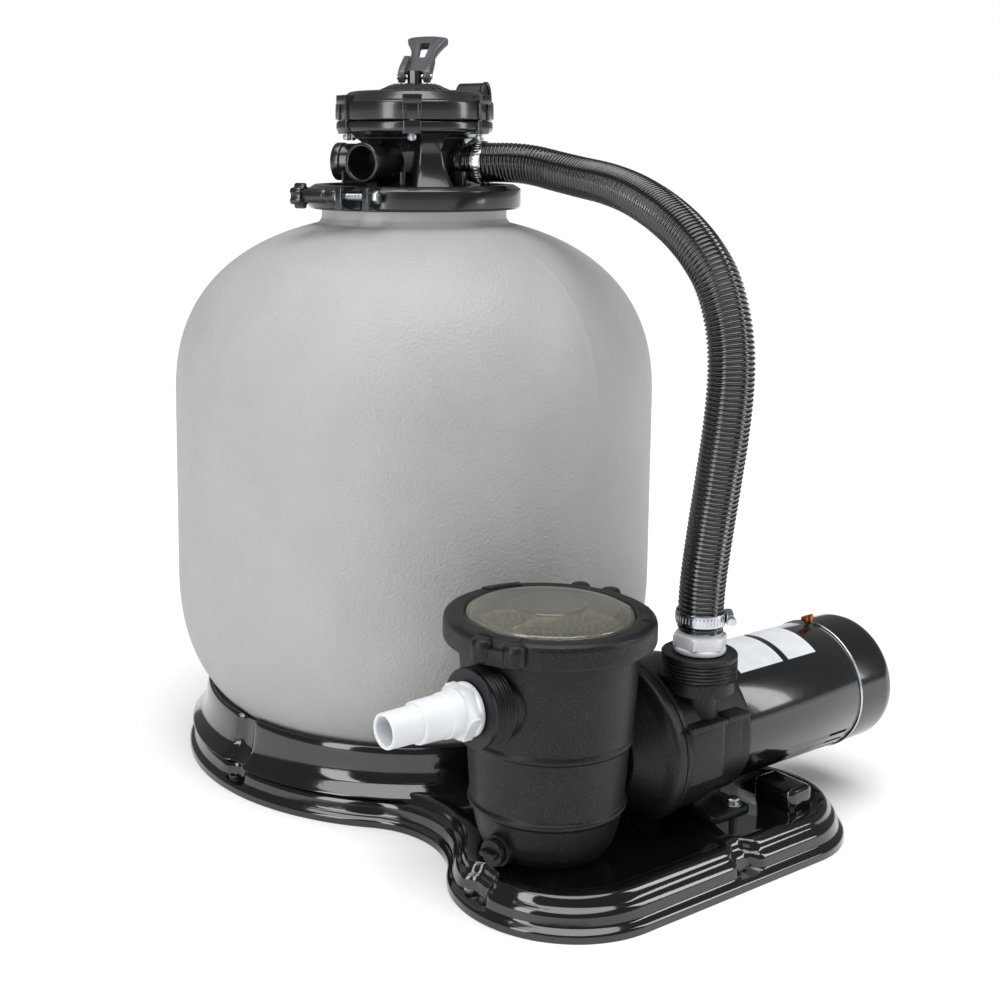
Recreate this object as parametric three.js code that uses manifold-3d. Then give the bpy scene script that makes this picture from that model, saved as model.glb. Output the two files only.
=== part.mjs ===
// Sand filter system: tank, six-way valve, transfer hose and strainer pump on one moulded base.
// Millimetres, +Z up. Tank axis on the origin, floor at z = 0, pump shaft along +X in front (-Y).
import * as THREE from 'three';
import { mergeVertices, toCreasedNormals } from 'three/addons/utils/BufferGeometryUtils.js';
import Module from 'manifold-3d';

const wasm = await Module();
wasm.setup();

// Clearances
const GAP = 0.3;            // between touching pieces
const RUN = 0.7;            // between turning pieces
const FACET = 0.33;         // share of the nominal side count that round bodies get

// Tank
const TANK_R = 284;
const TANK_WALL = 5;
const FOOT_Z = 6;           // underside of the tank
const LOW_Z = 225;          // lower dome starts
const HIGH_Z = 430;         // upper dome starts
const CROWN = 213;          // height of the full upper dome
const LOW_POW = 2.5;
const HIGH_POW = 2.4;
const NECK_R = 109.5;
const NECK_Z = 634;
const NECK_FLANGE_R = 116;
const NECK_FLANGE_Z = 654;
const NECK_FLANGE_T = 8;
const NECK_BORE = 98;

// Clamp ring round the neck
const CLAMP_R = 126;
const CLAMP_H = 28;
const CLAMP_Z = 650;
const CLAMP_AZ = 206;       // direction of the visible joint
const CLAMP_SPLIT = 25;     // space between the two ears
const EAR_T = 9;
const EAR_OUT = 148;
const BOLT_R = 4;
const BOLT_RING = 137;
const BOLT_Z = CLAMP_Z + 17;

// Multiport valve
const PORT_Z = 704;
const PORT_AZ = { pump: 302, back: 200, waste: 122 };
const PORT_R = 21.5;
const BARB_R = 19;
const VALVE_FLANGE_T = 8.4;
const BODY_TOP = 751.7;
const BOWL_R = 72;
const LID_R = 93;
const LID_Z = 752.2;
const LID_RING_TOP = 774;
const LID_PLATE_Z = 786;
const DOME_R = 41;
const DOME_Z = 794.5;
const BOSS_R = 88;
const BOSS_W = 22;
const STEM_R = 9;
const HANDLE_AZ = 44;
const HANDLE_TILT = 30;
const HANDLE_LEN = 98;
const PIVOT_Z = 803;

// Base
const BASE_R = 274;
const PAD_A = { x: -109, y: -404, r: 116 };
const PAD_B = { x: 140, y: -420, r: 100 };
const WAIST_R = 95;
const DECK_Z = 37;
const RIM_Z = 82;
const RIM_R = 250;

// Pump
const PUMP_Y = -387;
const SHAFT_Z = 121;
const POT = { x: -118, y: PUMP_Y };
const POT_Z = DECK_Z + GAP;
const POT_RIM_Z = 262;
const INLET = { x: -202, y: PUMP_Y - 14, z: 206 };
const COLLAR_R = 38;
const COLLAR_L = 26;
const THROAT_R = 19.3;      // bore of both threaded collars
const RING_OUT = 104;
const RING_IN = 83;
const RING_Z = [250.5, 276];
const CASING_R = 84;
const SPLIT_X = -8;
const VOLUTE_END = 48;
const OUTLET = { x: 34, y: -442, z: 222 };
const MOTOR_R = 70;
const MOTOR_END = 275;
const CAP_END = 340;

// Hose
const HOSE_R = 22.8;
const HOSE_BORE = 20.4;
const HOSE_SIDES = 10;
const HOSE_STEPS = 22;
const HOSE_ROUTE = [
  [37.1, -59.4, 704], [50.9, -81.4, 704], [64.6, -103.5, 703.8], [77, -127, 701], [86, -155, 695],
  [90, -190, 689], [88, -235, 683], [80, -279, 675], [68, -322, 664.5], [55.5, -362, 652],
  [46, -396, 637], [39.5, -425, 618], [36, -448, 594], [34.5, -463, 562], [34, -470, 530],
  [34, -471, 495], [34, -467, 450], [34, -459.5, 400], [34, -451.5, 350], [34, -445, 305],
  [34, -442.3, 274], [34, -442, 244.5],
];

const DEG = Math.PI / 180;
const V3 = (x, y, z) => new THREE.Vector3(x, y, z);
const group = new THREE.Group();

// ---------------------------------------------------------------- solids

function solidOf(geometry) {
  const bare = geometry.index ? geometry.toNonIndexed() : geometry.clone();
  bare.deleteAttribute('normal');
  bare.deleteAttribute('uv');
  const merged = mergeVertices(bare, 1e-4);
  const source = merged.index.array;
  const tris = [];
  for (let i = 0; i < source.length; i += 3) {
    const [a, b, c] = [source[i], source[i + 1], source[i + 2]];
    if (a !== b && b !== c && a !== c) tris.push(a, b, c);
  }
  const build = (order) => new wasm.Manifold(new wasm.Mesh({
    numProp: 3,
    vertProperties: new Float32Array(merged.attributes.position.array),
    triVerts: new Uint32Array(order),
  }));
  const first = build(tris);
  if (first.volume() > 0) return first;
  for (let i = 0; i < tris.length; i += 3) [tris[i], tris[i + 1]] = [tris[i + 1], tris[i]];
  return build(tris);
}

function geometryOf(solid) {
  const mesh = solid.getMesh();
  const geometry = new THREE.BufferGeometry();
  geometry.setAttribute('position', new THREE.BufferAttribute(new Float32Array(mesh.vertProperties), 3));
  geometry.setIndex(new THREE.BufferAttribute(new Uint32Array(mesh.triVerts), 1));
  return toCreasedNormals(geometry, 0.6);
}

const union = (...parts) => parts.reduce((a, b) => a.add(b));
const cut = (body, ...tools) => tools.reduce((a, b) => a.subtract(b), body);
const moved = (solid, x, y, z) => solid.translate([x, y, z]);
const spunZ = (solid, degrees) => solid.rotate([0, 0, degrees]);
const alongX = (solid) => solid.rotate([0, 90, 0]);

// Body turned about Z from [radius, height] pairs; the profile meets the axis or closes on itself.
function turned(profile, segments = 48) {
  const points = profile.map(([r, z]) => new THREE.Vector2(r, z));
  const count = Math.max(6, 2 * Math.round((segments * FACET) / 2));
  return solidOf(new THREE.LatheGeometry(points, count).rotateX(Math.PI / 2));
}

const disc = (r, z0, z1, segments = 32) => turned([[0, z0], [r, z0], [r, z1], [0, z1]], segments);

function ringOf(inner, outer, z0, z1, segments = 48) {
  return turned([[inner, z0], [outer, z0], [outer, z1], [inner, z1], [inner, z0]], segments);
}

function box(x0, x1, y0, y1, z0, z1) {
  const geometry = new THREE.BoxGeometry(x1 - x0, y1 - y0, z1 - z0);
  return solidOf(geometry.translate((x0 + x1) / 2, (y0 + y1) / 2, (z0 + z1) / 2));
}

// Plate cut from a closed outline in X and Y, thick along Z.
function plate(points, z0, z1) {
  const shape = new THREE.Shape(points.map(([x, y]) => new THREE.Vector2(x, y)));
  const geometry = new THREE.ExtrudeGeometry(shape, { depth: z1 - z0, bevelEnabled: false });
  return solidOf(geometry.translate(0, 0, z0));
}

const hexPoints = (r) => Array.from({ length: 6 }, (_, i) => [r * Math.cos(i * 60 * DEG), r * Math.sin(i * 60 * DEG)]);
const hexBar = (r, z0, z1) => plate(hexPoints(r), z0, z1);

// Skin through stacked outlines that share one point count, capped at both ends.
function lofted(levels) {
  const n = levels[0].points.length;
  const position = levels.flatMap(({ points, z }) => points.flatMap(([x, y]) => [x, y, z]));
  const index = [];
  for (let k = 0; k + 1 < levels.length; k++) {
    for (let i = 0; i < n; i++) {
      const [a, b] = [k * n + i, k * n + ((i + 1) % n)];
      index.push(a, b, b + n, a, b + n, a + n);
    }
  }
  const flat = levels[0].points.map(([x, y]) => new THREE.Vector2(x, y));
  const top = (levels.length - 1) * n;
  for (const [a, b, c] of THREE.ShapeUtils.triangulateShape(flat, [])) {
    index.push(c, b, a, top + a, top + b, top + c);
  }
  const geometry = new THREE.BufferGeometry();
  geometry.setAttribute('position', new THREE.Float32BufferAttribute(position, 3));
  geometry.setIndex(index);
  return solidOf(geometry);
}

const FINISH = {
  tank: { color: 0x9c9c9a, roughness: 0.62, metalness: 0 },
  gloss: { color: 0x0c0c0d, roughness: 0.12, metalness: 0 },
  matte: { color: 0x1d1e20, roughness: 0.6, metalness: 0 },
  satin: { color: 0x141517, roughness: 0.35, metalness: 0 },
  white: { color: 0xe9eaec, roughness: 0.35, metalness: 0 },
  cream: { color: 0xd9cfa0, roughness: 0.5, metalness: 0 },
  smoked: { color: 0x6d6a55, roughness: 0.08, metalness: 0, transparent: true, opacity: 0.5 },
  rubber: { color: 0x161616, roughness: 0.8, metalness: 0 },
  steel: { color: 0xc3c6ca, roughness: 0.25, metalness: 1 },
  copper: { color: 0xb87345, roughness: 0.35, metalness: 1 },
  paint: { color: 0x111214, roughness: 0.22, metalness: 0.1 },
  iron: { color: 0x6e7073, roughness: 0.5, metalness: 0.9 },
};

function addPart(name, solid, finish) {
  const mesh = new THREE.Mesh(geometryOf(solid), new THREE.MeshStandardMaterial(FINISH[finish]));
  mesh.name = name;
  group.add(mesh);
}

// ---------------------------------------------------------------- base

// Centre of the circle that rounds the inner corner between the tank lobe and a pad circle.
function waistCentre(pad, side) {
  const d = Math.hypot(pad.x, pad.y);
  const [p, q] = [BASE_R + WAIST_R, pad.r + WAIST_R];
  const along = (p * p - q * q + d * d) / (2 * d);
  const off = side * Math.sqrt(p * p - along * along);
  return [(pad.x * along - pad.y * off) / d, (pad.y * along + pad.x * off) / d];
}

function arc(cx, cy, r, from, to, count) {
  return Array.from({ length: count }, (_, i) => {
    const a = from + ((to - from) * i) / (count - 1);
    return [cx + r * Math.cos(a), cy + r * Math.sin(a)];
  });
}

// Pear-shaped outline, moved outwards by grow.
function baseOutline(grow) {
  const [lx, ly] = waistCentre(PAD_A, -1);
  const [rx, ry] = waistCentre(PAD_B, 1);
  const toward = (x0, y0, x1, y1) => Math.atan2(y1 - y0, x1 - x0);
  const down = -Math.PI / 2;
  const left = toward(0, 0, lx, ly) + 2 * Math.PI;
  const right = toward(0, 0, rx, ry);
  return [
    ...arc(0, 0, BASE_R + grow, right, left, 22),
    ...arc(lx, ly, WAIST_R - grow, left - Math.PI, toward(lx, ly, PAD_A.x, PAD_A.y), 5).slice(1),
    ...arc(PAD_A.x, PAD_A.y, PAD_A.r + grow, toward(PAD_A.x, PAD_A.y, lx, ly), 2 * Math.PI + down, 8).slice(1),
    ...arc(PAD_B.x, PAD_B.y, PAD_B.r + grow, down, toward(PAD_B.x, PAD_B.y, rx, ry), 8),
    ...arc(rx, ry, WAIST_R - grow, toward(rx, ry, PAD_B.x, PAD_B.y) + 2 * Math.PI, right + Math.PI, 5).slice(1, -1),
  ];
}

const level = (z, grow) => ({ z, points: baseOutline(grow) });

// Half-breadth of a squarish dome: full is its half-width, rise how far up it the level is, 0 to 1.
const domeRadius = (full, rise, power) => full * Math.pow(Math.max(0, 1 - Math.pow(rise, power)), 1 / power);

function lowerDome(grow, count, floor) {
  const depth = LOW_Z - FOOT_Z + 3 + grow;
  return Array.from({ length: count }, (_, i) => {
    const z = LOW_Z - (LOW_Z - floor) * Math.sin(((i + 1) / count) * 90 * DEG);
    return [domeRadius(TANK_R + grow, (LOW_Z - z) / depth, LOW_POW), z];
  });
}

function makeBase() {
  const skirt = lofted([level(0, 0), level(8, 0), level(11, -5), level(25, -9), level(29, -15), level(DECK_Z, -23)]);
  const rim = turned([[0, 20], [260, 20], [259, 42], [RIM_R + 1, RIM_Z - 4], [RIM_R - 1, RIM_Z - 0.8], [RIM_R - 5, RIM_Z], [0, RIM_Z]], 72);
  const well = lowerDome(4, 6, FOOT_Z - GAP);
  const wellCut = turned([[0, FOOT_Z - GAP], ...well.slice().reverse(), [TANK_R + 4, LOW_Z + 5], [0, LOW_Z + 5]], 64);
  const under = lofted([level(-1, -9), level(DECK_Z - 6, -28)]);
  const wellSkin = turned([[0, -2], [130, -2], ...lowerDome(12, 5, 3).reverse(), [0, LOW_Z]], 48);
  let body = union(skirt, rim);
  body = cut(body, under.subtract(wellSkin), wellCut);
  body = body.add(box(136, 174, -480, -428, DECK_Z - 1, DECK_Z + 14));
  const flute = box(-9, 30, -12, 12, 12, RIM_Z + 9);
  const tankFlute = spunZ(moved(flute, BASE_R - 20, 0, 0), 185);
  const padFlute = moved(spunZ(moved(box(-8, 30, -17, 17, 11, DECK_Z + 5), PAD_A.r - 16, 0, 0), 174), PAD_A.x, PAD_A.y, 0);
  const sideFlute = box(-12, 12, -30, 8, 11, DECK_Z + 5);
  return cut(body, tankFlute, padFlute, moved(sideFlute, 50, PAD_B.y - PAD_B.r + 16, 0), ...footBoltSpots().map(([x, y]) => moved(disc(4.5, DECK_Z - 12, DECK_Z + 2, 16), x, y, 0)));
}

// ---------------------------------------------------------------- tank

function makeTank() {
  const upper = (grow, count, top) => Array.from({ length: count }, (_, i) => {
    const z = HIGH_Z + (top - HIGH_Z) * Math.sin((i / (count - 1)) * 90 * DEG);
    return [domeRadius(TANK_R + grow, (z - HIGH_Z) / (CROWN + grow), HIGH_POW), z];
  });
  const outer = [[0, FOOT_Z], ...lowerDome(0, 6, FOOT_Z).reverse(), [TANK_R, LOW_Z], ...upper(0, 7, NECK_Z - 2),
    [NECK_R, NECK_Z + 4], [NECK_R, NECK_FLANGE_Z - 4], [NECK_FLANGE_R, NECK_FLANGE_Z]];
  const lip = NECK_FLANGE_Z + NECK_FLANGE_T;
  const inner = [[NECK_FLANGE_R, lip], [NECK_BORE, lip], [NECK_BORE, NECK_Z - 4],
    ...upper(-TANK_WALL, 4, NECK_Z - 14).reverse(), [TANK_R - TANK_WALL, LOW_Z],
    ...lowerDome(-TANK_WALL, 3, FOOT_Z + TANK_WALL), [0, FOOT_Z + TANK_WALL]];
  return turned([...outer, ...inner], 64);
}

function makeNeckSeal() {
  const z = NECK_FLANGE_Z + NECK_FLANGE_T;
  return ringOf(NECK_BORE + 2, NECK_BORE + 7, z + GAP, z + 3, 64);
}

const VALVE_FLANGE_Z = NECK_FLANGE_Z + NECK_FLANGE_T + 3 + GAP;

// Tangential ear box at the given azimuth: side is which way round the ring it lies.
function ear(azimuth, side) {
  const y0 = side > 0 ? CLAMP_SPLIT / 2 : -CLAMP_SPLIT / 2 - EAR_T;
  return spunZ(box(CLAMP_R - 6, EAR_OUT, y0, y0 + EAR_T, CLAMP_Z + 2, CLAMP_Z + CLAMP_H), azimuth);
}

const tangentRod = (azimuth, r, t0, t1, segments = 16) => {
  const rod = disc(r, t0, t1, segments).rotate([-90, 0, 0]);
  return spunZ(moved(rod, BOLT_RING, 0, BOLT_Z), azimuth);
};

function makeClampHalf(sign) {
  const [lo, hi] = [CLAMP_Z, CLAMP_Z + CLAMP_H];
  const bite = NECK_FLANGE_R + GAP;
  const ring = turned([[NECK_R + 1.5, lo], [CLAMP_R - 3, lo], [CLAMP_R, lo + 3], [CLAMP_R, hi - 4], [CLAMP_R - 8, hi],
    [NECK_R - 1.5, hi], [NECK_R - 1.5, VALVE_FLANGE_Z + VALVE_FLANGE_T + GAP], [bite, VALVE_FLANGE_Z + VALVE_FLANGE_T + GAP - 1],
    [bite, NECK_FLANGE_Z - GAP * 1.5], [NECK_R + 1.5, NECK_FLANGE_Z - 4.6], [NECK_R + 1.5, lo]], 64);
  const far = 300;
  const keep = sign > 0
    ? box(-far, far, 1.2, far, lo - 5, hi + 5)
    : box(-far, far, -far, -1.2, lo - 5, hi + 5);
  let half = ring.intersect(spunZ(keep, CLAMP_AZ));
  for (const [azimuth, side] of [[CLAMP_AZ, sign], [CLAMP_AZ + 180, -sign]]) {
    half = half.add(ear(azimuth, side).subtract(disc(CLAMP_R - 4, lo - 5, hi + 5, 64)));
    half = half.subtract(tangentRod(azimuth, BOLT_R + GAP, -60, 60));
  }
  return half;
}

const EAR_FACE = CLAMP_SPLIT / 2 + EAR_T;

// Knob side is the side away from the pump: towards negative tangent at the visible joint.
function makeClampBolt() {
  const shank = tangentRod(CLAMP_AZ, BOLT_R, -EAR_FACE - 43, EAR_FACE + 8);
  const nut = spunZ(moved(hexBar(8, 0, 7).rotate([-90, 0, 0]), BOLT_RING, EAR_FACE + GAP, BOLT_Z), CLAMP_AZ);
  return shank.add(nut);
}

function makeRearBolt() {
  const azimuth = CLAMP_AZ + 180;
  const shank = tangentRod(azimuth, BOLT_R, -EAR_FACE - 6, EAR_FACE + 6);
  const head = (t) => spunZ(moved(hexBar(8, 0, 6).rotate([-90, 0, 0]), BOLT_RING, t, BOLT_Z), azimuth);
  return union(shank, head(EAR_FACE + GAP), head(-EAR_FACE - GAP - 6));
}

const WASHER_T = 2;

function makeKnobWasher() {
  const t = -EAR_FACE - GAP - WASHER_T;
  return tangentRod(CLAMP_AZ, 9, t, t + WASHER_T, 20).subtract(tangentRod(CLAMP_AZ, BOLT_R + 0.4, -90, 90));
}

function makeKnob() {
  const start = -EAR_FACE - 2 * GAP - WASHER_T;
  const star = Array.from({ length: 24 }, (_, i) => {
    const r = i % 4 < 2 ? 14.5 : 11;
    return [r * Math.cos(i * 15 * DEG), r * Math.sin(i * 15 * DEG)];
  });
  const head = plate(star, start - 56, start - 41).rotate([-90, 0, 0]);
  const placed = spunZ(moved(head, BOLT_RING, 0, BOLT_Z), CLAMP_AZ);
  return union(tangentRod(CLAMP_AZ, 8.5, start - 42, start, 20), placed)
    .subtract(tangentRod(CLAMP_AZ, BOLT_R + 1.2, start - 44, 60));
}

// ---------------------------------------------------------------- inside the tank

const HUB_Z = 92;
const PIPE_R = 25;
const LATERALS = 6;

function makeStandpipe() {
  return ringOf(PIPE_R - 3, PIPE_R, HUB_Z + 22 + GAP, NECK_FLANGE_Z - 30, 32);
}

function makeHub() {
  let hub = disc(38, HUB_Z - 14, HUB_Z + 20, 36).add(ringOf(PIPE_R + 0.8, 34, HUB_Z + 19, HUB_Z + 46, 32));
  for (let i = 0; i < LATERALS; i++) {
    hub = hub.subtract(spunZ(moved(alongX(disc(9.3, 0, 30, 16)), 20, 0, HUB_Z), i * (360 / LATERALS)));
  }
  return hub.subtract(disc(PIPE_R - 4, HUB_Z - 6, HUB_Z + 60, 32));
}

function makeLateral(i) {
  const azimuth = i * (360 / LATERALS);
  const rod = union(alongX(disc(9, 24, 50, 16)), alongX(disc(13, 48, 205, 16)));
  return spunZ(moved(rod, 0, 0, HUB_Z), azimuth);
}

function makeDiffuser() {
  const top = VALVE_FLANGE_Z - 3;
  return turned([[PIPE_R + 1, top - 66], [62, top - 66], [78, top - 46], [78, top - 42], [40, top - 34],
    [40, top - 22], [PIPE_R + 1, top - 22], [PIPE_R + 1, top - 66]], 40);
}

// ---------------------------------------------------------------- valve

// Side gauge: how far out it stands, its centre height and which way its face is turned
const GAUGE = { azimuth: 18, reach: 126, stemZ: 738, z: 778, turn: -52 };
const atGauge = (solid) => spunZ(moved(spunZ(solid, -GAUGE.azimuth), GAUGE.reach, 0, 0), GAUGE.azimuth);

const radialTube = (azimuth, r, from, to, z, segments = 24) => spunZ(moved(alongX(disc(r, from, to, segments)), 0, 0, z), azimuth);
const bossAngles = Array.from({ length: 6 }, (_, i) => 232 + 60 * i);

function makeValveBody() {
  const z0 = VALVE_FLANGE_Z;
  let body = turned([[0, z0 - 18], [NECK_BORE - GAP, z0 - 18], [NECK_BORE - GAP, z0], [NECK_FLANGE_R, z0],
    [NECK_FLANGE_R, z0 + VALVE_FLANGE_T - 1], [104, z0 + VALVE_FLANGE_T], [62, z0 + VALVE_FLANGE_T + 3], [56, 690], [57, 718],
    [74, 733], [80, 737], [LID_R - 1, 739], [LID_R - 1, BODY_TOP], [0, BODY_TOP]], 64);
  for (const azimuth of bossAngles) {
    body = body.add(spunZ(box(60, LID_R + 3, -BOSS_W / 2, BOSS_W / 2, 736, BODY_TOP), azimuth));
  }
  body = body.add(radialTube(PORT_AZ.back, PORT_R, 20, 108, PORT_Z));
  body = body.add(radialTube(PORT_AZ.waste, PORT_R, 20, 100, PORT_Z));
  body = body.add(radialTube(PORT_AZ.pump, PORT_R + 1, 20, 64, PORT_Z)).add(radialTube(PORT_AZ.pump, BARB_R, 60, 98, PORT_Z));
  const web = lofted([
    { z: z0 + 8, points: [[30, -24], [84, -20], [84, 16], [30, 24]] },
    { z: 732, points: [[30, -14], [74, -8], [74, 12], [30, 16]] }]);
  body = body.add(spunZ(web, 252));
  body = body.add(radialTube(GAUGE.azimuth, 9, 40, GAUGE.reach, GAUGE.stemZ - 14, 16))
    .add(atGauge(disc(9, GAUGE.stemZ - 22, GAUGE.stemZ, 16)));
  // Bowl for the rotor, the three ports and the pipe socket below
  body = body.subtract(disc(BOWL_R, 731, BODY_TOP + 5, 48));
  body = body.subtract(disc(30, z0 - 30, 740, 36));
  body = body.subtract(radialTube(PORT_AZ.back, PORT_R - 3.5, 20, 130, PORT_Z));
  body = body.subtract(radialTube(PORT_AZ.waste, PORT_R - 3.5, 20, 130, PORT_Z));
  body = body.subtract(radialTube(PORT_AZ.pump, BARB_R - 3, 20, 130, PORT_Z));
  for (const azimuth of bossAngles) body = body.subtract(spunZ(moved(disc(3.3, 700, 760, 12), BOSS_R, 0, 0), azimuth));
  return body;
}

function makeGasket() {
  let gasket = ringOf(BOWL_R - 8, BOWL_R - GAP, 731 + GAP, 733.5, 48);
  gasket = gasket.add(ringOf(30, 36, 731 + GAP, 733.5, 36));
  for (let i = 0; i < 3; i++) gasket = gasket.add(spunZ(box(34, BOWL_R - 6, -2, 2, 731 + GAP, 733.5), 30 + 120 * i));
  return gasket;
}

function makeRotor() {
  const z0 = 733.5 + GAP;
  let rotor = union(disc(BOWL_R - 4, z0, z0 + 9, 44), disc(16, z0 + 8, 757, 24), disc(STEM_R, 756, PIVOT_Z + 7, 28));
  for (const azimuth of [0, 120, 240]) rotor = rotor.subtract(spunZ(moved(disc(13, z0 - 2, z0 + 20, 20), 46, 0, 0), azimuth));
  const pin = moved(disc(3.9, -20, 20, 14).rotate([90, 0, 0]), 0, 0, PIVOT_Z);
  return rotor.subtract(spunZ(pin, HANDLE_AZ));
}

const SPRING_Z = [759.5, 783];

function makeStemWasher() {
  return ringOf(STEM_R + RUN, 15, 757 + GAP, 759, 28);
}

function makeSpring() {
  const turns = 3.5;
  const rise = SPRING_Z[1] - SPRING_Z[0] - 3;
  const points = Array.from({ length: 29 }, (_, i) => {
    const a = (i / 28) * turns * 2 * Math.PI;
    return V3(13.5 * Math.cos(a), 13.5 * Math.sin(a), SPRING_Z[0] + 1.5 + (rise * i) / 28);
  });
  const wire = new THREE.Shape(hexPoints(1.3).map(([x, y]) => new THREE.Vector2(x, y)));
  const extrudePath = new THREE.CatmullRomCurve3(points);
  return solidOf(new THREE.ExtrudeGeometry(wire, { steps: 28, extrudePath, bevelEnabled: false }));
}

function makeCover() {
  let cover = turned([[0, LID_Z], [LID_R, LID_Z], [LID_R, LID_RING_TOP - 5], [LID_R - 4, LID_RING_TOP], [76, LID_PLATE_Z],
    [DOME_R, LID_PLATE_Z], [26, DOME_Z], [0, DOME_Z]], 64);
  for (const azimuth of bossAngles) {
    const boss = plate([[60, LID_Z], [LID_R + 3, LID_Z], [LID_R + 3, LID_RING_TOP + 1], [80, LID_PLATE_Z + 1], [60, LID_PLATE_Z - 4]], -BOSS_W / 2, BOSS_W / 2);
    let upright = spunZ(boss.rotate([90, 0, 0]), azimuth);
    cover = cover.add(upright);
    cover = cover.subtract(spunZ(box(LID_R - 1.5, LID_R + 9, -6, 6, LID_Z - 2, LID_RING_TOP - 2), azimuth));
  }
  for (let i = 0; i < 6; i++) {
    const rib = plate([[20, LID_PLATE_Z - 2], [56, LID_PLATE_Z - 2], [27, DOME_Z + 0.8], [20, DOME_Z + 0.8]], -1.6, 1.6);
    cover = cover.add(spunZ(rib.rotate([90, 0, 0]), 30 + 60 * i));
  }
  const hollow = turned([[0, LID_Z - 1], [BOWL_R - 6, LID_Z - 1], [BOWL_R - 10, LID_Z + 6], [17, LID_Z + 7],
    [17, SPRING_Z[1] + 0.5], [0, SPRING_Z[1] + 0.5]], 40);
  cover = cover.subtract(hollow).subtract(disc(STEM_R + RUN, LID_Z, DOME_Z + 9, 28));
  for (const azimuth of bossAngles) {
    cover = cover.subtract(spunZ(moved(disc(3.3, 740, 800, 12), BOSS_R, 0, 0), azimuth));
    cover = cover.subtract(spunZ(box(BOSS_R - 6.5, BOSS_R + 12, -6.5, 6.5, LID_RING_TOP - 1.5, 800), azimuth));
  }
  return cover;
}

function makeCoverSeal() {
  return ringOf(BOWL_R - 5.6, BOWL_R - 1.4, 747, LID_Z - GAP, 44);
}

function makeCoverScrew(azimuth) {
  const head = disc(5.4, LID_RING_TOP - 1.5 + GAP, LID_RING_TOP + 3, 16);
  const shank = disc(3, 729, LID_RING_TOP, 16);
  const nut = hexBar(5.6, 730, 736 - GAP);
  return spunZ(moved(union(head, shank, nut), BOSS_R, 0, 0), azimuth);
}

// Lever drawn lying along +X with its top side up, then tilted and turned about the pivot.
function makeHandle() {
  const blade = plate([[18, -16.5], [42, -14.5], [66, -17], [84, -22], [HANDLE_LEN, -27], [HANDLE_LEN + 5, -13],
    [HANDLE_LEN + 7, 0], [HANDLE_LEN + 5, 13], [HANDLE_LEN, 22], [80, 16], [64, 13.5], [42, 13], [18, 16.5]], -3, 6);
  const slot = plate([[52, -6], [80, -8], [80, 8], [52, 6]], -20, 20);
  const cheek = (y0, y1) => plate([[-7, -3], [-3, -6], [12, -6], [40, -3], [40, 6], [10, 10], [-4, 9], [-8, 4]], y0, y1)
    .rotate([90, 0, 0]);
  let lever = union(blade, moved(cheek(-4, 4), 0, 15, 0), moved(cheek(-4, 4), 0, -15, 0));
  lever = lever.subtract(slot);
  lever = lever.add(box(34, 50, -14, -12, -3, 8.5)).add(box(34, 50, 11, 13, -3, 8.5));
  lever = lever.subtract(disc(3.9, -40, 40, 14).rotate([90, 0, 0]));
  return spunZ(moved(lever.rotate([0, -HANDLE_TILT, 0]), 0, 0, PIVOT_Z), HANDLE_AZ);
}

function makeHandlePin() {
  return spunZ(moved(disc(3, -21, 21, 14).rotate([90, 0, 0]), 0, 0, PIVOT_Z), HANDLE_AZ);
}

function makeGauge() {
  const drum = alongX(turned([[0, -21], [20, -21], [23, -17], [23, 17], [20, 17], [20, 14], [0, 14]], 40));
  const stem = union(disc(5, GAUGE.stemZ + GAP, GAUGE.z - 20, 16), hexBar(8, GAUGE.stemZ + 4, GAUGE.z - 21.5));
  return atGauge(union(moved(spunZ(drum, GAUGE.turn), 0, 0, GAUGE.z), stem));
}

// ---------------------------------------------------------------- hose

const hosePath = new THREE.CatmullRomCurve3(HOSE_ROUTE.map(([x, y, z]) => V3(x, y, z)), false, 'centripetal');

function makeHose() {
  const loop = (r) => Array.from({ length: HOSE_SIDES }, (_, i) => {
    const a = (i / HOSE_SIDES) * 2 * Math.PI;
    return new THREE.Vector2(r * Math.cos(a), r * Math.sin(a));
  });
  const section = new THREE.Shape(loop(HOSE_R));
  section.holes.push(new THREE.Path(loop(HOSE_BORE)));
  const tube = new THREE.ExtrudeGeometry(section, { steps: HOSE_STEPS, extrudePath: hosePath, bevelEnabled: false });
  return solidOf(tube);
}

// Band clamp at a share of the hose's length from its start, with the screw housing turned by twist.
function makeHoseClamp(centre, direction, twist) {
  const band = ringOf(HOSE_R + 1, HOSE_R + 2, -6, 6, 40);
  const housing = union(box(HOSE_R + 1.3, HOSE_R + 8.5, -9, 9, -5.5, 5.5), moved(alongScrew(), HOSE_R + 5, 0, 0));
  const turn = new THREE.Quaternion().setFromUnitVectors(V3(0, 0, 1), direction.clone().normalize());
  const matrix = new THREE.Matrix4().makeRotationFromQuaternion(turn).setPosition(centre);
  return spunZ(union(band, housing), twist).transform(matrix.elements);
}

function alongScrew() {
  return union(disc(3.2, -14, 10, 12), hexBar(4.4, -18, -12)).rotate([90, 0, 0]);
}

// ---------------------------------------------------------------- pump

const atPot = (solid) => moved(solid, POT.x, POT.y, 0);
const onShaft = (solid) => moved(alongX(solid), 0, PUMP_Y, SHAFT_Z);

// Drain plug: its direction from the pot's axis, its height and how far out the boss ends
const PLUG = { azimuth: 190, z: 56, reach: 76 };
const atPlug = (solid) => atPot(moved(spunZ(alongX(solid), PLUG.azimuth), 0, 0, PLUG.z));

function footBoltSpots() {
  return [[88, PUMP_Y - 58], [88, PUMP_Y + 58]];
}

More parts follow.
